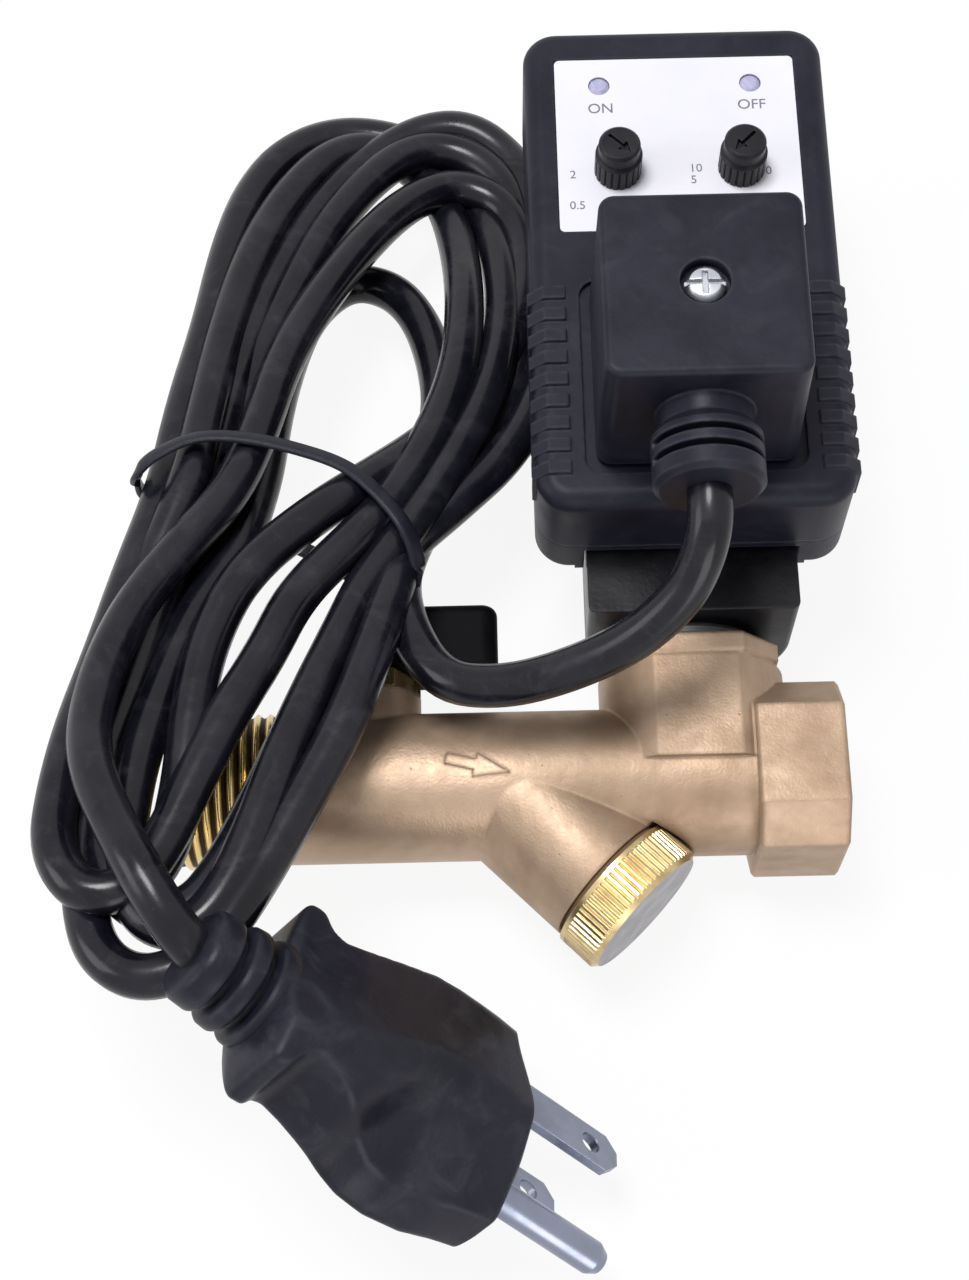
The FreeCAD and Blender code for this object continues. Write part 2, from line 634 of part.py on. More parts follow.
def strainer_cap():
    """A plug with a straight-knurled head; the screen's lower end stands inside it."""
    seat_level = "branch_length + cap_seal_height"
    end = f"{seat_level} + cap_length"
    plug = "branch_bore - 0.05"
    profile = [("0", f"{seat_level} + 1.2"), ("screen_radius + 0.2", f"{seat_level} + 1.2"),
               ("screen_radius + 0.2", "branch_length - cap_plug_length"),
               (plug, "branch_length - cap_plug_length"),
               (plug, seat_level), ("cap_radius", seat_level), ("cap_radius", f"{end} - cap_chamfer"),
               ("cap_radius - cap_chamfer", end), ("0", end)]
    body = turned("Cap", profile, "branch", BRANCH)
    groove = new_sketch(body, "KnurlGroove", "XY_Plane", f"{end} + 0.1")
    draw_outline(groove, [("cap_radius - knurl_depth", "0"), ("cap_radius + 0.2", "-0.42"),
                          ("cap_radius + 0.2", "0.42")])
    cutter = pocket(body, "KnurlCut", groove, "cap_length - 0.6")
    around = body.newObject("PartDesign::PolarPattern", "Knurl")
    around.Originals = [cutter]
    around.Axis = (groove, ["N_Axis"])
    around.Angle = 360
    around.Occurrences = int(number("knurl_count"))
    around.setExpression("Occurrences", sized("knurl_count"))
    body.Tip = around
    refresh(around)
    keep("strainer_cap", body)
    keep("strainer_cap_seal", ring("CapSeal", "cap_radius - 1", "branch_bore + 0.02",
                                   "branch_length + 0.02",
                                   "branch_length + cap_seal_height - 0.02", "branch", BRANCH))


def o_ring(node, name, radius, level, axis, at):
    thing = DOC.addObject("Part::Torus", name)
    bind(thing, Radius1=radius, Radius2="seal_section")
    start = [f"({a}) + {step.format(level)}" for a, step in zip(at, STEP_ALONG[axis])]
    place(thing, *start, ALONG[axis])
    keep(node, thing)


# The solenoid

def armature_tube():
    """The threaded base, the thin tube, the fixed core inside its top and the stud above."""
    base_low = "chamber_step + 2 * seal_section + 0.1"
    flange_top = "boss_top + 0.05 + flange_height"
    coil_top = "coil_base + coil_height"
    core_low = "nozzle_top + 0.5 + plunger_length + plunger_stroke + 0.4"
    profile = [("tube_bore", base_low), ("base_radius - 0.05", base_low),
               ("base_radius - 0.05", "boss_top + 0.05"),
               ("tube_flange", "boss_top + 0.05"), ("tube_flange", flange_top), ("tube_radius", flange_top),
               ("tube_radius", coil_top), ("stud_radius", coil_top), ("stud_radius", f"{coil_top} + 7.5"),
               ("0", f"{coil_top} + 7.5"), ("0", core_low), ("tube_bore", core_low)]
    keep("armature_tube", turned("Tube", profile, "y"))


def plunger():
    low = "nozzle_top + 0.5"
    high = f"{low} + plunger_length"
    radius = "tube_bore - plunger_gap"
    profile = [("plunger_seal + 0.02", low), (radius, low), (radius, high), ("spring_radius + 0.9", high),
               ("spring_radius + 0.9", f"{high} - spring_depth"), ("0", f"{high} - spring_depth"),
               ("0", f"{low} + 2"), ("plunger_seal + 0.02", f"{low} + 2")]
    keep("plunger", turned("Plunger", profile, "y"))
    seal = [("0", "nozzle_top + 0.02"), ("plunger_seal - 0.3", "nozzle_top + 0.02"), ("plunger_seal", low),
            ("plunger_seal", f"{low} + 1.98"), ("0", f"{low} + 1.98")]
    keep("plunger_seal", turned("PlungerSeal", seal, "y"))


def return_spring():
    """The coil spring between the plunger's pocket and the fixed core."""
    low = "nozzle_top + 0.5 + plunger_length - spring_depth + spring_wire + 0.05"
    high = "nozzle_top + 0.5 + plunger_length + plunger_stroke + 0.4 - spring_wire - 0.05"
    helix = DOC.addObject("Part::Helix", "SpringHelix")
    bind(helix, Radius="spring_radius", Height=f"({high}) - ({low})", Pitch=f"(({high}) - ({low})) / 5")
    place(helix, "0", low, "0", ALONG["y"])
    wire = DOC.addObject("Part::Circle", "SpringWire")
    bind(wire, Radius="spring_wire")
    place(wire, "spring_radius", low, "0", Rotation())
    sweep = DOC.addObject("Part::Sweep", "Spring")
    sweep.Sections = [wire]
    sweep.Spine = (helix, [])
    sweep.Solid, sweep.Frenet = True, True
    keep("return_spring", sweep)


def coil():
    """The moulded winding: a U in plan, round at the back and flat where the timer plugs on."""
    post = rod("CoilPost", "coil_half", "coil_base", "coil_base + coil_height", "y")
    rear = block("CoilRear", ("-coil_half", "coil_half"), ("coil_base", "coil_base + coil_height"),
                 ("-coil_half", "0"))
    back = DOC.addObject("Part::Common", "CoilBack")
    back.Base, back.Tool = post, rear
    front = block("CoilFront", ("-coil_half", "coil_half"), ("coil_base", "coil_base + coil_height"),
                  ("0", "coil_front"))
    blank = fuse("CoilBlank", back, front)
    refresh(post, rear, back, front, blank)
    low = number(f"coil_base + {ORIGIN_Y}")
    high = low + number("coil_height")
    face = number(f"coil_front + {ORIGIN_Z}")
    soft = soften("CoilSoft", blank, lambda e: min(abs(middle(e).y - low), abs(middle(e).y - high)) < 0.01
                  and
                  middle(e).z < face - 0.01, "coil_round")
    bore = rod("CoilBore", "tube_radius + 0.05", "coil_base - 1", "coil_base + coil_height + 1", "y")
    insert = rod("CoilInsert", "screw_radius + 0.03", "coil_front - screw_end - 0.5", "coil_front + 1", "z",
                 ("0", "plug_y", "0"))
    blades = terminals("CoilSlot", "coil_front - 3.05", "coil_front + 1", "0.03")
    keep("coil", cut("Coil", soft, bore, insert, *blades))


def terminals(name, low, high, extra="0"):
    """The three flat terminals of the connector: two side by side and the earth below them."""
    half, thin = f"blade_half + {extra}", f"blade_thickness / 2 + {extra}"
    spans = [
        ((f"-blade_x - ({thin})", f"-blade_x + {thin}"), (f"plug_y - ({half})", f"plug_y + {half}")),
        ((f"blade_x - ({thin})", f"blade_x + {thin}"), (f"plug_y - ({half})", f"plug_y + {half}")),
        ((f"-({half})", half), (f"plug_y - blade_x - ({thin})", f"plug_y - blade_x + {thin}")),
    ]
    return [block(f"{name}{i}", x, y, (low, high)) for i, (x, y) in enumerate(spans)]


def terminal_set(node, name, low, high):
    group = DOC.addObject("Part::Compound", name)
    group.Links = terminals(name + "Blade", low, high)
    keep(node, group)


def coil_fittings():
    flange_top = "boss_top + 0.05 + flange_height"
    keep("coil_seal", ring("CoilSeal", "tube_flange - 1", "tube_radius + 0.05", f"{flange_top} + 0.02",
                           "coil_base - 0.02", "y"))
    top = "coil_base + coil_height"
    keep("coil_washer", ring("CoilWasher", "coil_nut_half + 2", "stud_radius + 0.1", f"{top} + 0.02",
                             f"{top} + washer_height", "y"))
    keep("coil_nut", nut("CoilNut", "coil_nut_half", "coil_nut_height", "stud_radius + 0.02",
                         ("0", f"{top} + washer_height + 0.02", "0")))


# The timer

def case_outline(inset="0"):
    half = f"timer_half - ({inset})"
    return rectangle(f"-({half})", half, f"timer_low + {inset}", f"timer_low + timer_length - ({inset})")


def timer_rear_shell():
    """A tray with a socket in its back that drops over the coil's flat front."""
    body = new_body("Rear")
    tray = pad(body, "RearPad", outline(body, "RearOutline", case_outline(), lift="timer_back"),
               "timer_seam - timer_back")
    soft = fillet(body, "RearCorners", tray, lambda e: is_along(e, Z_AXIS), "timer_corner")
    back = number("timer_back")
    soft = fillet(body, "RearEdge", soft, lambda e: middle(e).z < back + 0.01, "back_round")
    hollow = outline(body, "RearHollow", case_outline("case_wall"), lift="timer_seam")
    pocket(body, "RearHollowCut", hollow, "timer_seam - timer_back - case_wall")
    floor = "coil_front + gasket_thickness + 0.04"
    top = "max(coil_base + coil_height; plug_y + gasket_half)"
    island = outline(body, "SocketIsland", rectangle("-coil_half - 1.6", "coil_half + 1.6", "timer_low",
                                                     f"{top} + 1.6"), lift="timer_back")
    pad(body, "SocketIslandPad", island, "timer_seam - timer_back")
    well = outline(body, "SocketWell", rectangle("-coil_half - 0.3", "coil_half + 0.3", "timer_low - 1",
                                                 f"{top} + 0.3"), lift="timer_back")
    pocket(body, "SocketWellCut", well, f"{floor} - timer_back", up=True)
    holes = [*terminals("RearSlot", "timer_back", "timer_seam + 1", "0.25"),
             rod("RearScrewWay", "screw_hole", "timer_back", "timer_seam + 1", "z", ("0", "plug_y", "0"))]
    keep("timer_rear_shell", cut("RearShell", body, *holes))


def grip_ribs(body):
    """Raised ribs that wrap the front edge on both sides, where a thumb pulls the timer off."""
    sketch = new_sketch(body, "RibSection", "XZ_Plane", "-rib_low + rib_width / 2")
    section = [
        ("rib_inner", "timer_front - 1"), ("rib_inner + 0.4", "timer_front + rib_height"),
        ("timer_half - front_round * 0.7", "timer_front + rib_height"),
        ("timer_half + rib_height", "timer_front - front_round * 0.7"),
        ("timer_half + rib_height", "timer_front - 8"), ("timer_half - 1", "timer_front - 8.6"),
        ("timer_half - 1", "timer_front - 3"), ("timer_half - 3", "timer_front - 1"),
    ]
    for side in (1, -1):
        draw_outline(sketch, [(f"{side} * ({x})", z) for x, z in section])
    rib = pad(body, "Rib", sketch, "rib_width")
    row = body.newObject("PartDesign::LinearPattern", "RibRow")
    row.Originals = [rib]
    row.Direction = (origin_plane(body, "Y_Axis"), [""])
    row.Length = number("rib_pitch * (rib_count - 1)")
    row.setExpression("Length", sized("rib_pitch * (rib_count - 1)"))
    row.Occurrences = int(number("rib_count"))
    row.setExpression("Occurrences", sized("rib_count"))
    body.Tip = row
    refresh(row)


def timer_front_cover():
    body = new_body("Front")
    box = pad(body, "FrontPad", outline(body, "FrontOutline", case_outline(), lift="timer_seam + 0.02"),
              "timer_front - timer_seam - 0.02")
    soft = fillet(body, "FrontCorners", box, lambda e: is_along(e, Z_AXIS), "timer_corner")
    front = number("timer_front")
    soft = fillet(body, "FrontEdge", soft, lambda e: middle(e).z > front - 0.01, "front_round")
    hollow = outline(body, "FrontHollow", case_outline("case_wall"), lift="timer_seam + 0.02")
    pocket(body, "FrontHollowCut", hollow, "timer_front - timer_seam - case_wall", up=True)
    recess = outline(body, "ConnectorRecess",
                     rectangle("-recess_half", "recess_half", "plug_y - recess_height",
                               "plug_y + recess_height"),
                     lift="timer_front")
    recess_cut = pocket(body, "ConnectorRecessCut", recess, "recess_depth")
    halfway = number("timer_front - recess_depth / 2")
    fillet(body, "RecessCorners", recess_cut,
           lambda e: is_along(e, Z_AXIS) and abs(middle(e).z - halfway) < 0.1, "2.6")
    label = outline(body, "LabelRecess",
                    rectangle("-label_half - 0.1", "label_half + 0.1", "label_low - 0.1",
                              "label_low + label_length + 0.1"), lift="timer_front")
    pocket(body, "LabelRecessCut", label, "label_thickness")
    holes = [("led_x", "led_y", "led_radius + 0.1"), ("-led_x", "led_y", "led_radius + 0.1"),
             ("knob_x", "knob_y", "knob_shaft + shaft_gap"),
             ("-knob_x", "knob_y", "knob_shaft + shaft_gap"),
             ("0", "test_y", "test_radius + shaft_gap")]
    pocket(body, "FrontHoles", discs(body, "FrontDiscs", holes, lift="timer_front"), "case_wall + 2")
    grip_ribs(body)
    slots = [*terminals("FrontSlot", "timer_front - case_wall - 1", "timer_front + 1", "0.25"),
             rod("FrontScrewWay", "screw_hole", "timer_front - case_wall - 1", "timer_front + 1", "z",
                 ("0", "plug_y", "0"))]
    keep("timer_front_cover", cut("FrontCover", body, *slots))


def timer_label():
    """The printed film, with holes for the lamps and the knobs."""
    body = new_body("Label")
    film = outline(body, "LabelOutline", rectangle("-label_half", "label_half", "label_low",
                                                   "label_low + label_length"),
                   lift="timer_front - label_thickness + 0.02")
    sheet = pad(body, "LabelPad", film, "label_thickness")
    fillet(body, "LabelCorners", sheet, lambda e: is_along(e, Z_AXIS), "0.8")
    holes = [("led_x", "led_y", "led_radius + 0.1"), ("-led_x", "led_y", "led_radius + 0.1"),
             ("knob_x", "knob_y", "knob_shaft + 0.2"), ("-knob_x", "knob_y", "knob_shaft + 0.2")]
    pocket(body, "LabelHoles", discs(body, "LabelDiscs", holes))
    keep("timer_label", body)


def circuit_board():
    body = new_body("Board")
    inset = "case_wall + 0.4"
    board = pad(body, "BoardPad", outline(body, "BoardOutline", case_outline(inset), lift="board_level"),
                "board_thickness")
    fillet(body, "BoardCorners", board, lambda e: is_along(e, Z_AXIS), "timer_corner - case_wall")
    holes = [("0", "plug_y", "screw_hole")]
    pocket(body, "BoardHoles", discs(body, "BoardDiscs", holes))
    slots = terminals("BoardSlot", "board_level - 1", "board_level + board_thickness + 1", "0.03")
    keep("timer_circuit_board", cut("CircuitBoard", body, *slots))


def knob_arrow(angle):
    """The sunken arrow on a knob's top, about its centre."""
    turn = math.radians(angle)
    shape = [(-2.1, -0.28), (0.5, -0.28), (0.5, -1.0), (2.3, 0), (0.5, 1.0), (0.5, 0.28), (-2.1, 0.28)]
    return [(f"{x * math.cos(turn) - y * math.sin(turn):.4f}",
             f"{x * math.sin(turn) + y * math.cos(turn):.4f}")
            for x, y in shape]


def knob(node, name, side, arrow_angle):
    """A small ribbed knob in one piece with its shaft; side is -1 or 1."""
    base, x = "timer_front + 0.1", f"{side} * knob_x"
    top = f"{base} + knob_height"
    body = turned(name, [("0", "board_level + board_thickness + 3.6"),
                         ("knob_shaft", "board_level + board_thickness + 3.6"),
                         ("knob_shaft", base), ("knob_radius", base),
                         ("knob_radius", f"{base} + knob_height * 0.6"),
                         ("knob_tip", f"{base} + knob_height * 0.66"), ("knob_tip", f"{top} - 0.4"),
                         ("knob_tip - 0.4", top), ("0", top)], "z", (x, "knob_y", "0"))
    groove = new_sketch(body, name + "Groove", "XY_Plane", base)
    draw_outline(groove, [("knob_radius - 0.3", "0"), ("knob_radius + 0.2", "-0.36"),
                          ("knob_radius + 0.2", "0.36")])
    cutter = pocket(body, name + "GrooveCut", groove, "knob_height * 0.58", up=True)
    around = body.newObject("PartDesign::PolarPattern", name + "Ribs")
    around.Originals = [cutter]
    around.Axis = (groove, ["N_Axis"])
    around.Angle = 360
    around.Occurrences = int(number("knob_ribs"))
    around.setExpression("Occurrences", sized("knob_ribs"))
    body.Tip = around
    refresh(around)
    arrow = new_sketch(body, name + "Arrow", "XY_Plane", f"{top} + 0.1")
    draw_outline(arrow, knob_arrow(arrow_angle))
    pocket(body, name + "ArrowCut", arrow, "0.9")
    keep(node, body)


def potentiometer(node, name, side):
    low = "board_level + board_thickness + 0.02"
    x = f"{side} * knob_x"
    can = block(name + "Can", (f"{x} - pot_half", f"{x} + pot_half"),
                ("knob_y - pot_half", "knob_y + pot_half"),
                (low, f"{low} + 5.6"))
    bore = rod(name + "Bore", "knob_shaft + shaft_gap", f"{low} + 2.6", f"{low} + 6", "z",
               (x, "knob_y", "0"))
    keep(node, cut(name, can, bore))


def lamp(node, name, side):
    """A small lamp whose dome stands level with the label."""
    low = "board_level + board_thickness + 0.02"
    x = f"{side} * led_x"
    top = "timer_front + 0.15"
    keep(node, turned(name, [("0", low), ("led_radius + 0.3", low), ("led_radius + 0.3", f"{low} + 1"),
                             ("led_radius", f"{low} + 1"), ("led_radius", f"{top} - 0.4"),
                             ("led_radius - 0.5", top), ("0", top)], "z", (x, "led_y", "0")))


def test_switch():
    low = "board_level + board_thickness + 0.02"
    case = block("TestCase", ("-test_half", "test_half"), ("test_y - test_half", "test_y + test_half"),
                 (low, f"{low} + 3.6"))
    bore = rod("TestBore", "test_radius + shaft_gap", f"{low} + 2", f"{low} + 4", "z", ("0", "test_y", "0"))
    keep("test_switch", cut("TestSwitch", case, bore))
    keep("test_plunger", rod("TestPlunger", "test_radius", f"{low} + 2 + test_travel + 0.1",
                             "timer_front - label_thickness - 0.05", "z", ("0", "test_y", "0")))


# The connector

def flat_gasket(node, name, low):
    blank = block(name + "Blank", ("-gasket_half", "gasket_half"),
                  ("plug_y - gasket_half", "plug_y + gasket_half"),
                  (low, f"{low} + gasket_thickness"))
    slots = terminals(name + "Slot", f"{low} - 1", f"{low} + gasket_thickness + 1", "0.2")
    hole = rod(name + "Hole", "screw_hole", f"{low} - 1", f"{low} + gasket_thickness + 1", "z",
               ("0", "plug_y", "0"))
    keep(node, cut(name, blank, hole, *slots))


CONNECTOR_BASE = "timer_front - recess_depth + gasket_thickness + 0.04"


def connector_housing():
    """The moulded connector: a hollow tapered block with its strain relief out of the lower side."""
    wedge = DOC.addObject("Part::Wedge", "Shell")
    tall_front = "plug_half_height - plug_base_half + plug_front_half"
    bind(wedge, Xmin="-plug_base_half", Xmax="plug_base_half", X2min="-plug_front_half",
         X2max="plug_front_half",
         Zmin="-plug_half_height", Zmax="plug_half_height", Z2min=f"-({tall_front})", Z2max=tall_front,
         Ymin="0", Ymax=f"plug_front - ({CONNECTOR_BASE})")
    place(wedge, "0", "plug_y", CONNECTOR_BASE, Rotation(X_AXIS, 90))
    refresh(wedge)
    front = number(f"plug_front + {ORIGIN_Z}")
    sides = soften("ShellCorners", wedge, lambda e: abs(e.Vertexes[0].Z - e.Vertexes[1].Z) > 5,
                   "plug_corner")
    soft = soften("ShellRim", sides, lambda e: middle(e).z > front - 0.01, "0.9")
    inner = "plug_front_half - plug_wall"
    hollow = block("ShellHollow", (f"-({inner})", inner), (f"plug_y - ({inner})", f"plug_y + {inner}"),
                   ("timer_front - 1", "plug_front - plug_wall - head_depth - 1"))
    relief = strain_relief()
    tools = [
        rod("HeadRecess", "head_recess", "plug_front - head_depth", "plug_front + 1", "z",
            ("0", "plug_y", "0")),
        rod("HousingScrewWay", "screw_hole", "timer_front", "plug_front + 1", "z", ("0", "plug_y", "0")),
    ]
    blank = DOC.addObject("Part::Fuse", "HousingBlank")
    blank.Base, blank.Tool = soft, relief
    keep("connector_housing", cut("ConnectorHousing", blank, hollow, *tools))


def strain_relief():
    """A neck, two slotted collars and an end collar, turned about the cord's axis."""
    start, end = "plug_y - plug_half_height + 2.5", "relief_end"
    at = ("0", "0", "relief_level")
    rounds = turned("Relief", [("0", end), ("relief_radius - 0.8", end), ("relief_radius", f"{end} + 0.8"),
                               ("relief_radius", f"{end} + 7.4"), ("relief_neck", f"{end} + 9"),
                               ("relief_neck + 0.5", start), ("0", start)], "y", at)
    slots = []
    for i, level in enumerate((f"{end} + 3", f"{end} + 5.4")):
        slot = ring(f"ReliefSlot{i}", "relief_radius + 1", "relief_radius - 1.8", level,
                    f"{level} + slot_width",
                    "y", at)
        front = block(f"ReliefFront{i}", ("-relief_radius - 2", "relief_radius + 2"),
                      (f"{level} - 1", f"{level} + 3"),
                      ("relief_level + 1.5", "relief_level + relief_radius + 2"))
        arc = DOC.addObject("Part::Common", f"ReliefArc{i}")
        arc.Base, arc.Tool = slot, front
        slots.append(arc)
    return cut("ReliefCut", rounds, *slots)


def connector_insert():
    """The terminal block inside the connector, with sockets for the timer's blades."""
    low = CONNECTOR_BASE
    half = "plug_front_half - plug_wall - 0.1"
    blank = block("InsertBlank", (f"-({half})", half), (f"plug_y - ({half})", f"plug_y + {half}"),
                  (f"{low} + 0.1", f"{low} + 14"))
    hole = rod("InsertHole", "screw_hole", f"{low} - 1", f"{low} + 15", "z", ("0", "plug_y", "0"))
    sockets = terminals("InsertSocket", f"{low} - 1", f"{low} + 9", "0.04")
    keep("connector_insert", cut("Insert", blank, hole, *sockets))


def connector_screw():
    """The long screw that holds connector, timer and coil together."""
    seat_level = "plug_front - head_depth + 0.03"
    tip = "coil_front - screw_end"
    body = turned("LongScrew", [("0", tip), ("screw_radius - 0.4", tip), ("screw_radius", f"{tip} + 0.5"),
                                ("screw_radius", seat_level), ("screw_head", seat_level),
                                ("screw_head", f"{seat_level} + 1"),
                                ("screw_head - 0.7", f"{seat_level} + 1.7"),
                                ("0", f"{seat_level} + 1.9")], "z", ("0", "plug_y", "0"))
    top = f"{seat_level} + 2.2"
    for name, x, y in (("SlotLong", "screw_head + 0.2", "0.35"), ("SlotCross", "0.4", "1.7")):
        slot = new_sketch(body, name, "XY_Plane", top)
        draw_outline(slot, rectangle(f"-({x})", x, f"-({y})", y))
        pocket(body, name + "Cut", slot, "1.2")
    keep("connector_screw", body)


# The cord, its hank and the mains plug

LEAD_POINTS = [(0, 25, 45), (0.1, 20.4, 43.2), (-3.2, 14.8, 36.2), (-9.8, 10.2, 29.6), (-18.8, 8.1, 24.2),
               (-28.2, 7.2, 20.6), (-37.2, 9.4, 18.2), (-44, 14, 17)]
PLUG_START = (-67.5, -32.9, 31)
PLUG_TURN = Rotation(-29, 33.5, -42)
TAIL_POINTS = [(-71, -29.2, 34.4), (-75.2, -22.2, 35.4), (-78.8, -15.7, 32.8)]
HANK_CENTRE = ("-55", "50")
HANK_OUTSIDE = [(-38, 78.5), (-62, 78.5), (-74, 49), (-81.5, 3), (-89.5, -41), (-91, -66), (-82, -83),
                (-70, -74),
                (-53, -60), (-41, -32), (-39, -18), (-23.6, 11), (-23.6, 62)]
HANK_INSIDE = [(-50, 40), (-38, 50), (-41, 12), (-58, 4)]


def row_point(point):
    """A point of the cord's route in the valve's own box."""
    return Vector(point[0] + number(ORIGIN_X), point[1] + number(ORIGIN_Y), point[2] + number(ORIGIN_Z))


def cord_path(points):
    """Straight runs joined by tangent arcs, each as large as its two runs allow."""
    pieces, radii, start = [], [], points[0]
    for before, here, after in zip(points, points[1:], points[2:]):
        back, ahead = (before - here), (after - here)
        shorter = min(back.Length, ahead.Length)
        turn = math.pi - back.getAngle(ahead)
        reach = 0.45 * shorter
        radii.append(reach / math.tan(turn / 2))
        back.normalize()
        ahead.normalize()
        enter, leave = here + back * reach, here + ahead * reach
        inward = back + ahead
        inward.normalize()
        mid = here + inward * (radii[-1] / math.cos(turn / 2) - radii[-1])
        pieces += [Part.LineSegment(start, enter).toShape(), Part.Arc(enter, mid, leave).toShape()]
        start = leave
    pieces.append(Part.LineSegment(start, points[-1]).toShape())
    return Part.Wire(pieces), radii


def cord_tube(node, points):
    radius = number("cord_radius")
    wire, radii = cord_path(points)
    ahead = points[1] - points[0]
    section = Part.Wire(Part.Circle(points[0], ahead, radius).toShape())
    solid = wire.makePipeShell([section], True, False)
    ideal = math.pi * radius**2 * wire.Length
    print(f"{node}: length {wire.Length:.1f}, volume over section times length {solid.Volume / ideal:.4f},",
          "radii", [round(r, 1) for r in radii])
    tube = DOC.addObject("Part::Feature", node)
    tube.Shape = solid
    keep(node, tube)


def cord_hank():
    """One solid of the coiled cord's outer shape, sloping from the bench up over the pipe."""
    turn = Rotation(X_AXIS, -number("hank_tilt"))
    body = DOC.addObject("PartDesign::Body", "Hank")
    place(body, *HANK_CENTRE, f"hank_level - {ORIGIN_Z}", turn)
    centre = number(HANK_CENTRE[0])
    shape = outline(body, "HankOutline", [(f"{x - centre}", f"{y}") for x, y in HANK_OUTSIDE])
    slab = pad(body, "HankPad", shape, "2 * hank_half", both=True)
    fillet(body, "HankCorners", slab, lambda e: is_along(e, Z_AXIS), "6")
    eye = outline(body, "HankEye", [(f"{x - centre}", f"{y}") for x, y in HANK_INSIDE])
    hole = pocket(body, "HankEyeCut", eye)
    half = number("hank_half")
    fillet(body, "HankEdges", hole, lambda e: abs(abs(middle(e).z) - half) < 0.01, "hank_half * 0.6")
    keep("cord_hank", body)


def cord_tie():
    """A flat tie round the whole hank at its waist."""
    turn = Rotation(X_AXIS, -number("hank_tilt")) * Rotation(Z_AXIS, -24.9)
    body = DOC.addObject("PartDesign::Body", "Tie")
    place(body, "-60.6", "45.4", f"hank_level + 1 - {ORIGIN_Z}", turn)
    width, tall = "26", "hank_half + 0.3"
    band = outline(body, "TieOutline", rectangle(f"-{width} - tie_thickness", f"{width} + tie_thickness",
                                                 f"-({tall}) - tie_thickness", f"{tall} + tie_thickness"),
                   "XZ_Plane")
    loop = pad(body, "TiePad", band, "tie_width", both=True)
    fillet(body, "TieCorners", loop, lambda e: is_along(e, Y_AXIS), "3")
    way = outline(body, "TieWay", rectangle(f"-{width}", width, f"-({tall})", tall), "XZ_Plane")
    pocket(body, "TieWayCut", way)
    keep("cord_tie", body)


def plug_section(name, along, half, thick, drop):
    """An eight-cornered section of the mains plug at one place along it."""
    sketch = DOC.addObject("Sketcher::SketchObject", name)
    draw_outline(sketch, [
        (half, f"-{thick} + {drop}"), (half, f"{thick} - {drop}"), (f"{half} - {drop}", thick),
        (f"-{half} + 2 * {drop}", thick), (f"-{half}", f"{thick} - 2 * {drop}"),
        (f"-{half}", f"-{thick} + 2 * {drop}"), (f"-{half} + 2 * {drop}", f"-{thick}"),
        (f"{half} - {drop}", f"-{thick}"),
    ])
    seat_on_plug(sketch, along, "0", "0", Rotation(Y_AXIS, 90) * Rotation(Z_AXIS, 90))
    return sketch


def seat_on_plug(thing, along, across="0", up="0", turn=None):
    """Puts a thing on the mains plug: along its axis, across its face and up from its middle."""
    x, y, z = number(along), number(across), number(up)
    start = row_point(PLUG_START)
    thing.Placement = Placement(start + PLUG_TURN.multVec(Vector(x, y, z)),
                                PLUG_TURN * (turn or Rotation()))
    axes = [PLUG_TURN.multVec(v) for v in (X_AXIS, Y_AXIS, Z_AXIS)]
    for axis, base, origin in zip("xyz", PLUG_START, (ORIGIN_X, ORIGIN_Y, ORIGIN_Z)):
        a, b, c = (getattr(v, axis) for v in axes)
        words = f"{base} + {origin} + ({a:.9f}) * ({along}) + ({b:.9f}) * ({across}) + ({c:.9f}) * ({up})"
        thing.setExpression(f"Placement.Base.{axis}", sized(words))


def plug_body():
    """The moulded plug: ringed strain relief, finger flange, waist and face."""
    face = "mains_relief + mains_length"
    loft = DOC.addObject("Part::Loft", "PlugLoft")
    loft.Sections = [
        plug_section("PlugFlangeBack", "mains_relief", "flange_half - 1.5", "mains_thick - 2.6", "2"),
        plug_section("PlugFlange", "mains_relief + 2", "flange_half", "mains_thick - 1.2", "2.4"),
        plug_section("PlugFlangeFront", "mains_relief + 5", "flange_half - 0.6", "mains_thick - 1.4",
                     "2.4"),
        plug_section("PlugWaist", "mains_relief + 9", "flange_half - 3.4", "mains_thick - 1.8", "2"),
        plug_section("PlugShoulder", "mains_relief + 22", "mains_half", "mains_thick", "2.4"),
        plug_section("PlugFace", face, "mains_half - 0.6", "mains_thick - 0.6", "2.8"),
    ]
    loft.Solid, loft.Ruled = True, True
    relief = new_body("PlugRelief")
    rings = outline(relief, "PlugReliefProfile", [
        ("0", "0"), ("mains_radius - 1", "0"), ("mains_radius", "1"), ("mains_radius", "4"),
        ("mains_radius - 1.6", "4.3"), ("mains_radius - 1.6", "5.7"), ("mains_radius + 0.6", "6"),
        ("mains_radius + 0.8", "8.6"), ("mains_radius - 1", "8.9"), ("mains_radius - 1", "10.3"),
        ("mains_radius + 1.2", "10.6"), ("mains_radius + 1.8",
                                         "mains_relief + 1"), ("0", "mains_relief + 1"),
    ], "XZ_Plane")
    spin = relief.newObject("PartDesign::Revolution", "PlugReliefTurn")
    spin.Profile = rings
    spin.ReferenceAxis = (rings, ["V_Axis"])
    spin.Angle = 360
    seat_on_plug(relief, "0", turn=ALONG["x"])
    keep("plug_body", fuse("PlugBody", loft, relief))


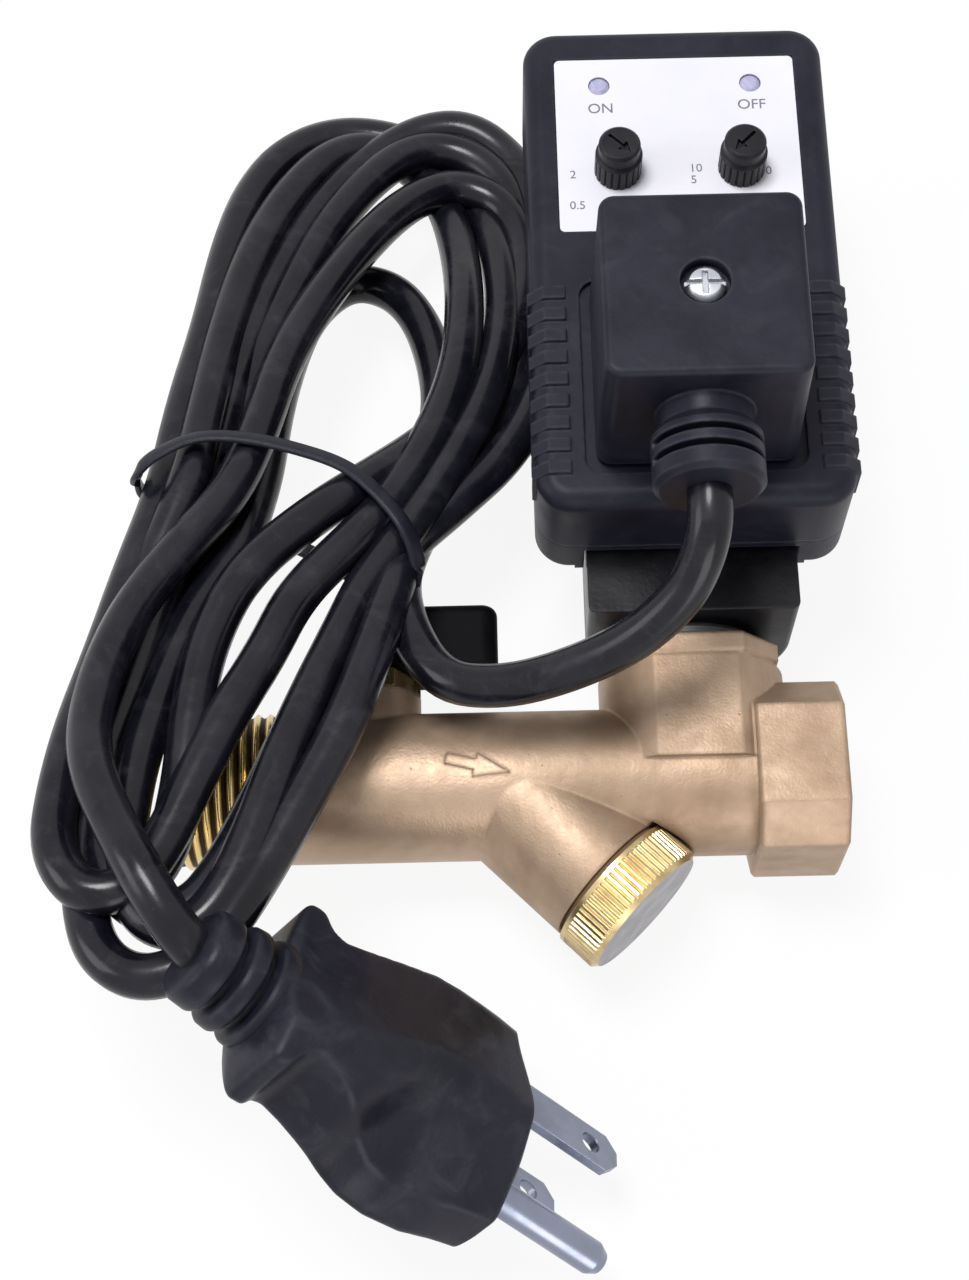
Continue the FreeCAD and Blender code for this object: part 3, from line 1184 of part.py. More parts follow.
def plug_pins():
    face = "mains_relief + mains_length + 0.02"
    earth = new_body("EarthPin")
    tip = "pin_length - pin_radius * 0.8"
    profile = outline(earth, "EarthProfile", [("0", "0"), ("pin_radius", "0"), ("pin_radius", tip),
                                              ("pin_radius * 0.72", "pin_length - pin_radius * 0.2"),
                                              ("0", "pin_length")], "XZ_Plane")
    spin = earth.newObject("PartDesign::Revolution", "EarthTurn")
    spin.Profile = profile
    spin.ReferenceAxis = (profile, ["V_Axis"])
    spin.Angle = 360
    seat_on_plug(earth, face, "-pin_offset", "0", ALONG["x"])
    keep("plug_earth_pin", earth)
    prongs = []
    for i, side in enumerate((-1, 1)):
        blade = new_body(f"Prong{i}")
        plan = outline(blade, f"ProngOutline{i}", [
            ("0", "-prong_half"), ("prong_length - 2", "-prong_half"), ("prong_length", "-prong_half + 2"),
            ("prong_length", "prong_half - 2"), ("prong_length - 2", "prong_half"), ("0", "prong_half")])
        pad(blade, f"ProngPad{i}", plan, "prong_thickness", both=True)
        pocket(blade, f"ProngHole{i}", discs(blade, f"ProngDisc{i}", [("prong_length - 5", "0", "1.6")]))
        seat_on_plug(blade, face, "prong_offset", f"{side} * prong_spacing / 2", Rotation())
        prongs.append(blade)
    group = DOC.addObject("Part::Compound", "Prongs")
    group.Links = prongs
    keep("plug_prongs", group)


def cord_parts():
    cord_tube("cord_lead", [row_point(p) for p in LEAD_POINTS])
    cord_tube("cord_tail", [row_point(p) for p in [PLUG_START, *TAIL_POINTS]])
    cord_hank()
    cord_tie()
    plug_body()
    plug_pins()


def build():
    valve_body()
    ball()
    seat("seat_upstream", "SeatUp", -1)
    seat("seat_downstream", "SeatDown", 1)
    seat_retainer()
    ball_stem()
    stem_packing()
    packing_nut()
    valve_handle()
    handle_screw()
    strainer_screen()
    strainer_cap()
    armature_tube()
    o_ring("armature_tube_seal", "TubeSeal", "chamber_radius + seal_section + 0.1",
           "chamber_step + seal_section + 0.05", "y", ("0", "0", "0"))
    plunger()
    return_spring()
    coil()
    terminal_set("coil_terminals", "CoilBlades", "coil_front - 3", "board_level + board_thickness - 0.02")
    coil_fittings()
    flat_gasket("coil_gasket", "CoilGasket", "coil_front + 0.02")
    timer_rear_shell()
    timer_front_cover()
    timer_label()
    circuit_board()
    knob("on_time_knob", "OnKnob", -1, -45)
    knob("off_time_knob", "OffKnob", 1, 225)
    potentiometer("on_time_potentiometer", "OnPot", -1)
    potentiometer("off_time_potentiometer", "OffPot", 1)
    lamp("on_lamp", "OnLamp", -1)
    lamp("off_lamp", "OffLamp", 1)
    test_switch()
    terminal_set("timer_terminals", "TimerBlades", "board_level + board_thickness + 0.02",
                 "timer_front - recess_depth + gasket_thickness + 8")
    flat_gasket("connector_gasket", "ConnectorGasket", "timer_front - recess_depth + 0.02")
    connector_housing()
    connector_insert()
    connector_screw()
    cord_parts()
    DOC.recompute()


def check():
    """Stops the build if any object or sub-part failed, and names each one."""
    failed = [thing.Name for thing in DOC.Objects if {"Invalid", "Error"} & set(thing.State)]
    for node, thing in PARTS.items():
        shape = thing.Shape
        if shape.isNull() or not shape.isValid() or not shape.Solids:
            failed.append(node)
    if failed:
        raise RuntimeError("failed: " + ", ".join(failed))


def export():
    os.makedirs("parts", exist_ok=True)
    for node, thing in PARTS.items():
        thing.Shape.exportStep(f"parts/{node}.step")


build()
check()
export()
print(len(PARTS), "parts")
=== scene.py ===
"""Looks of the automatic drain valve: brass body, strainer, solenoid, timer, connector, cord and plug."""

import json
import math

import bmesh
import bpy
import numpy as np
from mathutils import Matrix, Vector


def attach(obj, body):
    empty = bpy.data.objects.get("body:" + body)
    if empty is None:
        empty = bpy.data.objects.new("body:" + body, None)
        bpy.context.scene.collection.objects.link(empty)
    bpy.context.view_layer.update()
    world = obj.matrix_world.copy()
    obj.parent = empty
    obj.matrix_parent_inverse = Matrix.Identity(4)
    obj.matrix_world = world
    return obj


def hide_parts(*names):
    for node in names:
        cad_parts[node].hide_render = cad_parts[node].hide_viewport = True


MM = 0.001
FULL_TURN = 6.28
VALVE_ORIGIN = (26.0, -41.72, 15.2)
CORD_RADIUS = 3.1
TIMER_FRONT = 31.0
HANK_MIDDLE = (0.0, 50.0, 9.2)
HANK_TILT = math.radians(12.8)
PLUG_START = (-67.5, -32.9, 31.0)
PLUG_YAW, PLUG_PITCH, PLUG_ROLL = -29.0, 33.5, -42.0
THREAD_PITCH = 1.814
BRANCH_WAY = (math.cos(math.radians(45)), -math.sin(math.radians(45)), 0.0)

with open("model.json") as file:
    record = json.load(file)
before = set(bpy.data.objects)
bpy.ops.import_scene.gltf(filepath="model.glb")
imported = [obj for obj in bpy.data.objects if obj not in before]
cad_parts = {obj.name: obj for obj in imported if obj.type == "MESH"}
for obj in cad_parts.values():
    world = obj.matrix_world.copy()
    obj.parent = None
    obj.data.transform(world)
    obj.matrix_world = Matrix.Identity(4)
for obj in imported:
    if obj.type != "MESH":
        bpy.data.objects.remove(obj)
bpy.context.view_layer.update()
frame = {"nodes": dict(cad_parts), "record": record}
nodes = frame["nodes"]


# Places

def at(x, y, z):
    """A point of the valve's own drawing, in millimetres from the solenoid's axis, in the row frame."""
    return tuple((value + shift) * MM for value, shift in zip((x, y, z), VALVE_ORIGIN))


def all_at(points):
    """The same for an array of points."""
    return (np.asarray(points, float) + np.array(VALVE_ORIGIN)) * MM


def on_hank(x, v, w):
    """A point of the coiled cord: x across, v up along its slope and w over its middle plane."""
    y = HANK_MIDDLE[1] + v * math.cos(HANK_TILT) + w * math.sin(HANK_TILT)
    z = HANK_MIDDLE[2] - v * math.sin(HANK_TILT) + w * math.cos(HANK_TILT)
    return (x, y, z)


def plug_axes():
    """The mains plug's own axes as rows: along it, across its face and up from it."""
    turn = (Matrix.Rotation(math.radians(PLUG_YAW), 3,
                            "Z") @ Matrix.Rotation(math.radians(PLUG_PITCH), 3, "Y")
            @ Matrix.Rotation(math.radians(PLUG_ROLL), 3, "X"))
    return np.array(turn).T


# Meshes

def add_mesh(name, points, faces, smooth=True):
    """A piece from an array of points in the row frame and a list of faces."""
    mesh = bpy.data.meshes.new(name)
    mesh.from_pydata([tuple(p) for p in points], [], [tuple(int(i) for i in face) for face in faces])
    mesh.polygons.foreach_set("use_smooth", np.full(len(mesh.polygons), smooth))
    mesh.update()
    piece = bpy.data.objects.new(name, mesh)
    bpy.context.scene.collection.objects.link(piece)
    return piece


def grid_faces(rows, columns):
    """Quads of a grid of points whose last column joins the first."""
    i, j = np.meshgrid(np.arange(rows - 1), np.arange(columns), indexing="ij")
    k = (j + 1) % columns
    corners = [i * columns + j, i * columns + k, (i + 1) * columns + k, (i + 1) * columns + j]
    return np.stack(corners, -1).reshape(-1, 4)


def closed_skin(name, rings):
    """A closed piece from rings of points: a quad skin with a point in the middle of each end."""
    rings = np.asarray(rings, float)
    rows, columns = rings.shape[:2]
    points = np.vstack([rings.reshape(-1, 3), rings[0].mean(0), rings[-1].mean(0)])
    faces = [list(f) for f in grid_faces(rows, columns)]
    turn = (np.arange(columns) + 1) % columns
    faces += [[rows * columns, turn[j], j] for j in range(columns)]
    last = (rows - 1) * columns
    faces += [[rows * columns + 1, last + j, last + turn[j]] for j in range(columns)]
    piece = add_mesh(name, points, faces)
    face_outwards(piece)
    return piece


def face_outwards(piece):
    """Turns a closed piece's faces outwards."""
    work = bmesh.new()
    work.from_mesh(piece.data)
    bmesh.ops.recalc_face_normals(work, faces=work.faces)
    work.to_mesh(piece.data)
    work.free()


def smoothstep(low, high, value):
    """0 up to low, 1 from high on, with a soft rise between them."""
    t = np.clip((value - low) / (high - low), 0, 1)
    return t * t * (3 - 2 * t)


# Shared shader effects

def new_group(name, inputs, outputs):
    """An empty node group with named sockets; each input has its usual value."""
    group = bpy.data.node_groups.new(name, "ShaderNodeTree")
    for label, kind, value in inputs:
        socket = group.interface.new_socket(label, in_out="INPUT", socket_type=kind)
        socket.default_value = value
    for label, kind in outputs:
        group.interface.new_socket(label, in_out="OUTPUT", socket_type=kind)
    return group, group.nodes.new("NodeGroupInput"), group.nodes.new("NodeGroupOutput")


def add_node(tree, kind, links=(), **values):
    """A node with its fields set; links are pairs of its input and what feeds it."""
    node = tree.nodes.new(kind)
    for field, value in values.items():
        setattr(node, field, value)
    for socket, source in links:
        if isinstance(source, bpy.types.NodeSocket):
            tree.links.new(source, node.inputs[socket])
        else:
            node.inputs[socket].default_value = source
    return node


def object_place(tree):
    """The place on the piece, in metres in its own space."""
    return tree.nodes.new("ShaderNodeTexCoord").outputs["Object"]


def noise(tree, place, scale, detail=3.0, roughness=0.55, distortion=0.0):
    """Noise of that many waves a metre."""
    node = add_node(tree, "ShaderNodeTexNoise", [("Vector", place), ("Scale", scale), ("Detail", detail),
                                                 ("Roughness", roughness), ("Distortion", distortion)])
    return node.outputs["Fac"]


def span(tree, value, low, high, to_low=0.0, to_high=1.0):
    """The value moved from one range to another, held inside it."""
    node = add_node(tree, "ShaderNodeMapRange", [("Value", value), ("From Min", low), ("From Max", high),
                                                 ("To Min", to_low), ("To Max", to_high)],
                    interpolation_type="SMOOTHSTEP")
    return node.outputs["Result"]


def mathn(tree, operation, first, second=0.0):
    """One step of arithmetic on shader values."""
    node = add_node(tree, "ShaderNodeMath", [(0, first), (1, second)], operation=operation)
    return node.outputs[0]


def blend_colours(tree, mask, first, second):
    """The first colour where the mask is 0, the second where it is 1."""
    node = tree.nodes.new("ShaderNodeMix")
    node.data_type = "RGBA"
    for index, source in ((0, mask), (6, first), (7, second)):
        if isinstance(source, bpy.types.NodeSocket):
            tree.links.new(source, node.inputs[index])
        else:
            node.inputs[index].default_value = source
    return node.outputs[2]


def make_edge_group():
    """Edge mask: how far a rounded normal leaves the face's own one, so it is 1 on sharp edges."""
    group, given, out = new_group("EdgeWear", [("Radius", "NodeSocketFloat", 0.0006),
                                               ("Break", "NodeSocketFloat", 400.0)],
                                  [("Mask", "NodeSocketFloat")])
    rounded = add_node(group, "ShaderNodeBevel", [("Radius", given.outputs["Radius"])], samples=4)
    real = group.nodes.new("ShaderNodeNewGeometry")
    dot = add_node(group, "ShaderNodeVectorMath", [(0, rounded.outputs[0]), (1, real.outputs["Normal"])],
                   operation="DOT_PRODUCT")
    turned = span(group, mathn(group, "SUBTRACT", 1.0, dot.outputs["Value"]), 0.02, 0.22)
    broken = add_node(group, "ShaderNodeTexNoise",
                      [("Vector", object_place(group)), ("Scale", given.outputs["Break"]), ("Detail", 3.0)])
    patchy = span(group, broken.outputs["Fac"], 0.3, 0.62, 0.35, 1.0)
    group.links.new(mathn(group, "MULTIPLY", turned, patchy), out.inputs["Mask"])
    return group


def make_grain_group():
    """Moulded or cast grain: two sizes of noise added as a height, and a slow mottling from 0 to 1."""
    group, given, out = new_group("SurfaceGrain", [("Fine", "NodeSocketFloat", 3000.0),
                                                   ("Coarse", "NodeSocketFloat", 500.0),
                                                   ("Mottle", "NodeSocketFloat", 60.0)],
                                  [("Height", "NodeSocketFloat"), ("Mottling", "NodeSocketFloat")])
    place = object_place(group)
    fine = add_node(group, "ShaderNodeTexNoise",
                    [("Vector", place), ("Scale", given.outputs["Fine"]), ("Detail", 2.0)])
    coarse = add_node(group, "ShaderNodeTexNoise",
                      [("Vector", place), ("Scale", given.outputs["Coarse"]), ("Detail", 3.0)])
    slow = add_node(group, "ShaderNodeTexNoise",
                    [("Vector", place), ("Scale", given.outputs["Mottle"]), ("Detail", 4.0),
                     ("Roughness", 0.6)])
    height = mathn(group, "ADD", mathn(group, "MULTIPLY", fine.outputs["Fac"], 0.45),
                   mathn(group, "MULTIPLY", coarse.outputs["Fac"], 0.55))
    group.links.new(height, out.inputs["Height"])
    group.links.new(span(group, slow.outputs["Fac"], 0.3, 0.7), out.inputs["Mottling"])
    return group


def make_dust_group():
    """Dust and fingermarks: small specks and long smears that turn a gloss dull, as a mask."""
    group, given, out = new_group("DustAndSmears", [("Specks", "NodeSocketFloat", 900.0),
                                                    ("Amount", "NodeSocketFloat", 0.5)],
                                  [("Mask", "NodeSocketFloat")])
    place = object_place(group)
    dots = add_node(group, "ShaderNodeTexVoronoi", [("Vector", place), ("Scale", given.outputs["Specks"])])
    speck = span(group, dots.outputs["Distance"], 0.05, 0.16, 1.0, 0.0)
    smear = span(group, noise(group, place, 140.0, 5.0, 0.65, 1.2), 0.48, 0.75)
    both = mathn(group, "MAXIMUM", mathn(group, "MULTIPLY", speck, 0.6), smear)
    group.links.new(mathn(group, "MULTIPLY", both, given.outputs["Amount"]), out.inputs["Mask"])
    return group


EDGE, GRAIN, DUST = make_edge_group(), make_grain_group(), make_dust_group()


def use_group(tree, group, **values):
    """A shared effect in a material, with its values set."""
    node = tree.nodes.new("ShaderNodeGroup")
    node.node_tree = group
    for label, value in values.items():
        node.inputs[label].default_value = value
    return node


def new_material(name, colour, roughness, metallic=0.0, coat=0.0, **sockets):
    """A material with its Principled shader; the sockets' constant numbers are set on the shader itself."""
    material = bpy.data.materials.new(name)
    material.use_nodes = True
    tree = material.node_tree
    shader = tree.nodes["Principled BSDF"]
    shader.inputs["Base Color"].default_value = (*colour, 1)
    shader.inputs["Roughness"].default_value = roughness
    shader.inputs["Metallic"].default_value = metallic
    shader.inputs["Coat Weight"].default_value = coat
    for label, value in sockets.items():
        shader.inputs[label.replace("_", " ")].default_value = value
    return material, tree, shader


def rounded_bump(tree, shader, height, distance, strength=0.5, edge=0.0004):
    """Feeds the shader a normal with softened edges and the bump of a height."""
    soft = add_node(tree, "ShaderNodeBevel", [("Radius", edge)], samples=4)
    bump = add_node(tree, "ShaderNodeBump",
                    [("Height", height), ("Distance", distance), ("Strength", strength),
                     ("Normal", soft.outputs[0])])
    tree.links.new(bump.outputs["Normal"], shader.inputs["Normal"])


# Finishes

def moulded_plastic(name, colour, roughness, fine=2600.0, coarse=600.0, depth=0.00006,
                    worn=(0.09, 0.09, 0.105), edge=0.0005, dust=0.22, wear=0.5, specular=0.15):
    """Satin moulded plastic: fine grain, slow mottling of its gloss, paler rubbed edges, a little dust."""
    material, tree, shader = new_material(name, colour, roughness, Specular_IOR_Level=specular)
    grain = use_group(tree, GRAIN, Fine=fine, Coarse=coarse, Mottle=70.0)
    edges = use_group(tree, EDGE, Radius=edge * 1.4, Break=500.0)
    marks = use_group(tree, DUST, Specks=800.0, Amount=dust)
    paler = tuple(min(1.0, c * 1.35 + 0.004) for c in colour)
    base = blend_colours(tree, grain.outputs["Mottling"], (*colour, 1), (*paler, 1))
    base = blend_colours(tree, mathn(tree, "MULTIPLY", edges.outputs["Mask"], wear), base, (*worn, 1))
    tree.links.new(blend_colours(tree, mathn(tree, "MULTIPLY", marks.outputs["Mask"], 0.12), base,
                                 (0.3, 0.3, 0.34, 1)),
                   shader.inputs["Base Color"])
    gloss = span(tree, grain.outputs["Mottling"], 0.0, 1.0, roughness - 0.05, roughness + 0.06)
    tree.links.new(mathn(tree, "ADD", gloss, mathn(tree, "MULTIPLY", marks.outputs["Mask"], 0.18)),
                   shader.inputs["Roughness"])
    rounded_bump(tree, shader, grain.outputs["Height"], depth, 0.45, edge)
    return material


def sand_cast_brass():
    """Dull sand-cast brass: brown smudges in broad patches, small dark pits and rubbed bright edges."""
    material, tree, shader = new_material("cast_brass", (0.55, 0.40, 0.29), 0.46, 0.62)
    place = object_place(tree)
    grain = use_group(tree, GRAIN, Fine=2600.0, Coarse=700.0, Mottle=60.0)
    edges = use_group(tree, EDGE, Radius=0.0009, Break=300.0)
    broad = span(tree, noise(tree, place, 30.0, 5.0, 0.62, 0.4), 0.34, 0.66)
    brown = blend_colours(tree, broad, (0.50, 0.35, 0.245, 1), (0.27, 0.18, 0.115, 1))
    pale = blend_colours(tree, mathn(tree, "MULTIPLY", grain.outputs["Mottling"], 0.4), brown,
                         (0.60, 0.455, 0.335, 1))
    pits = add_node(tree, "ShaderNodeTexVoronoi",
                    [("Vector", place), ("Scale", 520.0), ("Randomness", 1.0)])
    pit = span(tree, pits.outputs["Distance"], 0.03, 0.13, 1.0, 0.0)
    pit = mathn(tree, "MULTIPLY", pit, span(tree, noise(tree, place, 120.0), 0.5, 0.62))
    dark = blend_colours(tree, mathn(tree, "MULTIPLY", pit, 0.6), pale, (0.13, 0.08, 0.045, 1))
    tree.links.new(blend_colours(tree, mathn(tree, "MULTIPLY", edges.outputs["Mask"], 0.45), dark,
                                 (0.74, 0.58, 0.42, 1)),
                   shader.inputs["Base Color"])
    tree.links.new(span(tree, mathn(tree, "ADD", mathn(tree, "MULTIPLY", grain.outputs["Height"], 0.6),
                                    mathn(tree, "MULTIPLY", broad, 0.4)), 0.2, 0.8, 0.40, 0.56),
                   shader.inputs["Roughness"])
    height = mathn(tree, "SUBTRACT", grain.outputs["Height"], mathn(tree, "MULTIPLY", pit, 0.5))
    rounded_bump(tree, shader, height, 0.00016, 0.5, 0.0008)
    return material


def machined_metal(name, colour, roughness, lathe_axis=0, ring=2600.0, depth=0.00003, edge=0.0003,
                   tarnish=None):
    """Machined metal: tool marks as rings across one axis, light tarnish in patches and bright edges."""
    material, tree, shader = new_material(name, colour, roughness, 1.0)
    place = object_place(tree)
    parts = add_node(tree, "ShaderNodeSeparateXYZ", [(0, place)])
    wander = mathn(tree, "MULTIPLY", noise(tree, place, 90.0), 0.0004)
    along = mathn(tree, "ADD", parts.outputs[lathe_axis], wander)
    rings = mathn(tree, "SINE", mathn(tree, "MULTIPLY", along, ring * FULL_TURN))
    patches = span(tree, noise(tree, place, 70.0, 4.0, 0.6), 0.4, 0.7)
    duller = tarnish or tuple(c * 0.72 for c in colour)
    edges = use_group(tree, EDGE, Radius=edge * 2, Break=600.0)
    base = blend_colours(tree, mathn(tree, "MULTIPLY", patches, 0.55), (*colour, 1), (*duller, 1))
    bright = tuple(min(1.0, c * 1.15 + 0.03) for c in colour)
    tree.links.new(blend_colours(tree, mathn(tree, "MULTIPLY", edges.outputs["Mask"], 0.6), base,
                                 (*bright, 1)),
                   shader.inputs["Base Color"])
    tree.links.new(span(tree, patches, 0.0, 1.0, roughness - 0.04, roughness + 0.12),
                   shader.inputs["Roughness"])
    rounded_bump(tree, shader, rings, depth, 0.35, edge)
    return material


def cord_vinyl():
    """Black glossy vinyl of the cord: faint drawn lines along it, slow waves of gloss, dust and scuffs."""
    material, tree, shader = new_material("cord_vinyl", (0.005, 0.005, 0.0085), 0.26, 0.0, 0.12,
                                          Coat_Roughness=0.12, Specular_IOR_Level=0.24)
    place = object_place(tree)
    grain = use_group(tree, GRAIN, Fine=1800.0, Coarse=380.0, Mottle=110.0)
    marks = use_group(tree, DUST, Specks=650.0, Amount=0.6)
    stretched = add_node(tree, "ShaderNodeMapping", [("Vector", place), ("Scale", (900.0, 120.0, 500.0))])
    drawn = noise(tree, stretched.outputs[0], 1.0, 2.0)
    base = blend_colours(tree, grain.outputs["Mottling"], (0.004, 0.004, 0.0075, 1),
                         (0.009, 0.009, 0.0145, 1))
    tree.links.new(blend_colours(tree, mathn(tree, "MULTIPLY", marks.outputs["Mask"], 0.1), base,
                                 (0.2, 0.2, 0.24, 1)),
                   shader.inputs["Base Color"])
    gloss = span(tree, grain.outputs["Mottling"], 0.0, 1.0, 0.2, 0.32)
    tree.links.new(mathn(tree, "ADD", gloss, mathn(tree, "MULTIPLY", marks.outputs["Mask"], 0.2)),
                   shader.inputs["Roughness"])
    height = mathn(tree, "ADD", mathn(tree, "MULTIPLY", grain.outputs["Height"], 0.6),
                   mathn(tree, "MULTIPLY", drawn, 0.4))
    bump = add_node(tree, "ShaderNodeBump", [("Height", height), ("Distance", 0.00006), ("Strength", 0.4)])
    tree.links.new(bump.outputs["Normal"], shader.inputs["Normal"])
    return material


def cap_brass():
    """The strainer cap: bright knurled rim, and an end face that has gone grey."""
    material, tree, shader = new_material("cap_brass", (0.62, 0.47, 0.24), 0.3, 0.95)
    place = object_place(tree)
    normal = tree.nodes.new("ShaderNodeNewGeometry").outputs["Normal"]
    facing = add_node(tree, "ShaderNodeVectorMath", [(0, normal), (1, BRANCH_WAY)], operation="DOT_PRODUCT")
    face = span(tree, facing.outputs["Value"], 0.93, 0.985)
    cloudy = span(tree, noise(tree, place, 260.0, 4.0), 0.3, 0.7)
    grey = blend_colours(tree, cloudy, (0.29, 0.28, 0.30, 1), (0.40, 0.385, 0.40, 1))
    dull = blend_colours(tree, span(tree, noise(tree, place, 320.0, 3.0), 0.4, 0.65),
                         (0.64, 0.49, 0.26, 1), (0.47, 0.35, 0.18, 1))
    edges = use_group(tree, EDGE, Radius=0.0003, Break=900.0)
    rim = blend_colours(tree, mathn(tree, "MULTIPLY", edges.outputs["Mask"], 0.5), dull,
                        (0.80, 0.66, 0.40, 1))
    tree.links.new(blend_colours(tree, face, rim, grey), shader.inputs["Base Color"])
    tree.links.new(span(tree, face, 0.0, 1.0, 0.28, 0.45), shader.inputs["Roughness"])
    rounded_bump(tree, shader, cloudy, 0.00002, 0.3, 0.00015)
    return material


def thread_brass():
    """Freshly cut brass with painted shade in the thread's roots, told apart by the crest attribute."""
    material, tree, shader = new_material("thread_brass", (0.72, 0.52, 0.20), 0.28, 0.9)
    crest = add_node(tree, "ShaderNodeAttribute", attribute_name="crest").outputs["Fac"]
    root_shade_wobble = noise(tree, object_place(tree), 420.0, 3.0)
    mask = span(tree, mathn(tree, "ADD", crest, mathn(tree, "MULTIPLY", root_shade_wobble, 0.3)), 0.35, 0.85)
    # Painted shade: near black in the roots, where the crest attribute is low; the noise only wobbles its
    # edge.
    tree.links.new(blend_colours(tree, mask, (0.05, 0.028, 0.012, 1), (0.80, 0.60, 0.26, 1)),
                   shader.inputs["Base Color"])
    tree.links.new(span(tree, mask, 0.0, 1.0, 0.6, 0.24), shader.inputs["Roughness"])
    return material


def label_film():
    """Off-white printed film: a faint orange-peel sheen and a little dust."""
    material, tree, shader = new_material("label_film", (0.80, 0.79, 0.85), 0.38, 0.0, 0.15,
                                          Coat_Roughness=0.3)
    place = object_place(tree)
    grain = use_group(tree, GRAIN, Fine=2200.0, Coarse=900.0, Mottle=45.0)
    marks = use_group(tree, DUST, Specks=700.0, Amount=0.35)
    base = blend_colours(tree, grain.outputs["Mottling"], (0.82, 0.81, 0.87, 1), (0.77, 0.765, 0.83, 1))
    tree.links.new(blend_colours(tree, mathn(tree, "MULTIPLY", marks.outputs["Mask"], 0.25), base,
                                 (0.62, 0.6, 0.64, 1)),
                   shader.inputs["Base Color"])
    tree.links.new(span(tree, noise(tree, place, 60.0), 0.3, 0.7, 0.32, 0.46), shader.inputs["Roughness"])
    rounded_bump(tree, shader, grain.outputs["Height"], 0.00003, 0.3, 0.0001)
    return material


def label_ink():
    """Grey-violet printing ink with slightly uneven cover."""
    material, tree, shader = new_material("label_ink", (0.15, 0.14, 0.2), 0.5)
    cover = noise(tree, object_place(tree), 2600.0, 2.0)
    tree.links.new(blend_colours(tree, span(tree, cover, 0.35, 0.7), (0.13, 0.12, 0.18, 1),
                                 (0.2, 0.19, 0.27, 1)),
                   shader.inputs["Base Color"])
    return material


def lamp_lens():
    """Unlit lamp: a frosted lavender-grey lens, milky and a little translucent in its depth."""
    material, tree, shader = new_material("lamp_lens", (0.44, 0.43, 0.62), 0.28, 0.0, 0.4,
                                          Coat_Roughness=0.1, Subsurface_Weight=0.2, Subsurface_Scale=0.001)
    milk = span(tree, noise(tree, object_place(tree), 1200.0), 0.3, 0.7)
    tree.links.new(blend_colours(tree, milk, (0.40, 0.39, 0.58, 1), (0.50, 0.49, 0.68, 1)),
                   shader.inputs["Base Color"])
    return material


def board_laminate():
    """Green circuit laminate with a woven glass texture and faint copper tracks."""
    material, tree, shader = new_material("board", (0.02, 0.12, 0.05), 0.4, 0.0, 0.3, Coat_Roughness=0.2)
    place = object_place(tree)
    weave = add_node(tree, "ShaderNodeTexBrick",
                     [("Vector", place), ("Scale", 900.0), ("Mortar Size", 0.03)])
    tracks = add_node(tree, "ShaderNodeTexVoronoi", [("Vector", place), ("Scale", 230.0)],
                      feature="DISTANCE_TO_EDGE")
    line = span(tree, tracks.outputs["Distance"], 0.02, 0.06, 1.0, 0.0)
    tree.links.new(blend_colours(tree, mathn(tree, "MULTIPLY", line, 0.7), (0.015, 0.1, 0.04, 1),
                                 (0.05, 0.2, 0.08, 1)),
                   shader.inputs["Base Color"])
    rounded_bump(tree, shader, weave.outputs["Fac"], 0.00002, 0.3, 0.0002)
    return material


def woven_screen():
    """Stainless wire cloth of the strainer: a fine grid of wires, with painted shade in the gaps between
    them.
    """
    material, tree, shader = new_material("screen_mesh", (0.55, 0.55, 0.56), 0.35, 1.0)
    place = object_place(tree)
    parts = add_node(tree, "ShaderNodeSeparateXYZ", [(0, place)])
    first = mathn(tree, "SINE", mathn(tree, "MULTIPLY",
                                      mathn(tree, "ADD", parts.outputs[0], parts.outputs[1]), 9000.0))
    second = mathn(tree, "SINE", mathn(tree, "MULTIPLY", parts.outputs[2], 9000.0))
    wires = mathn(tree, "MAXIMUM", first, second)
    # Painted shade: the gaps between the wires are near black.
    tree.links.new(blend_colours(tree, span(tree, wires, -0.2, 0.4), (0.03, 0.03, 0.03, 1),
                                 (0.6, 0.6, 0.62, 1)),
                   shader.inputs["Base Color"])
    rounded_bump(tree, shader, wires, 0.0001, 0.6, 0.0002)
    return material


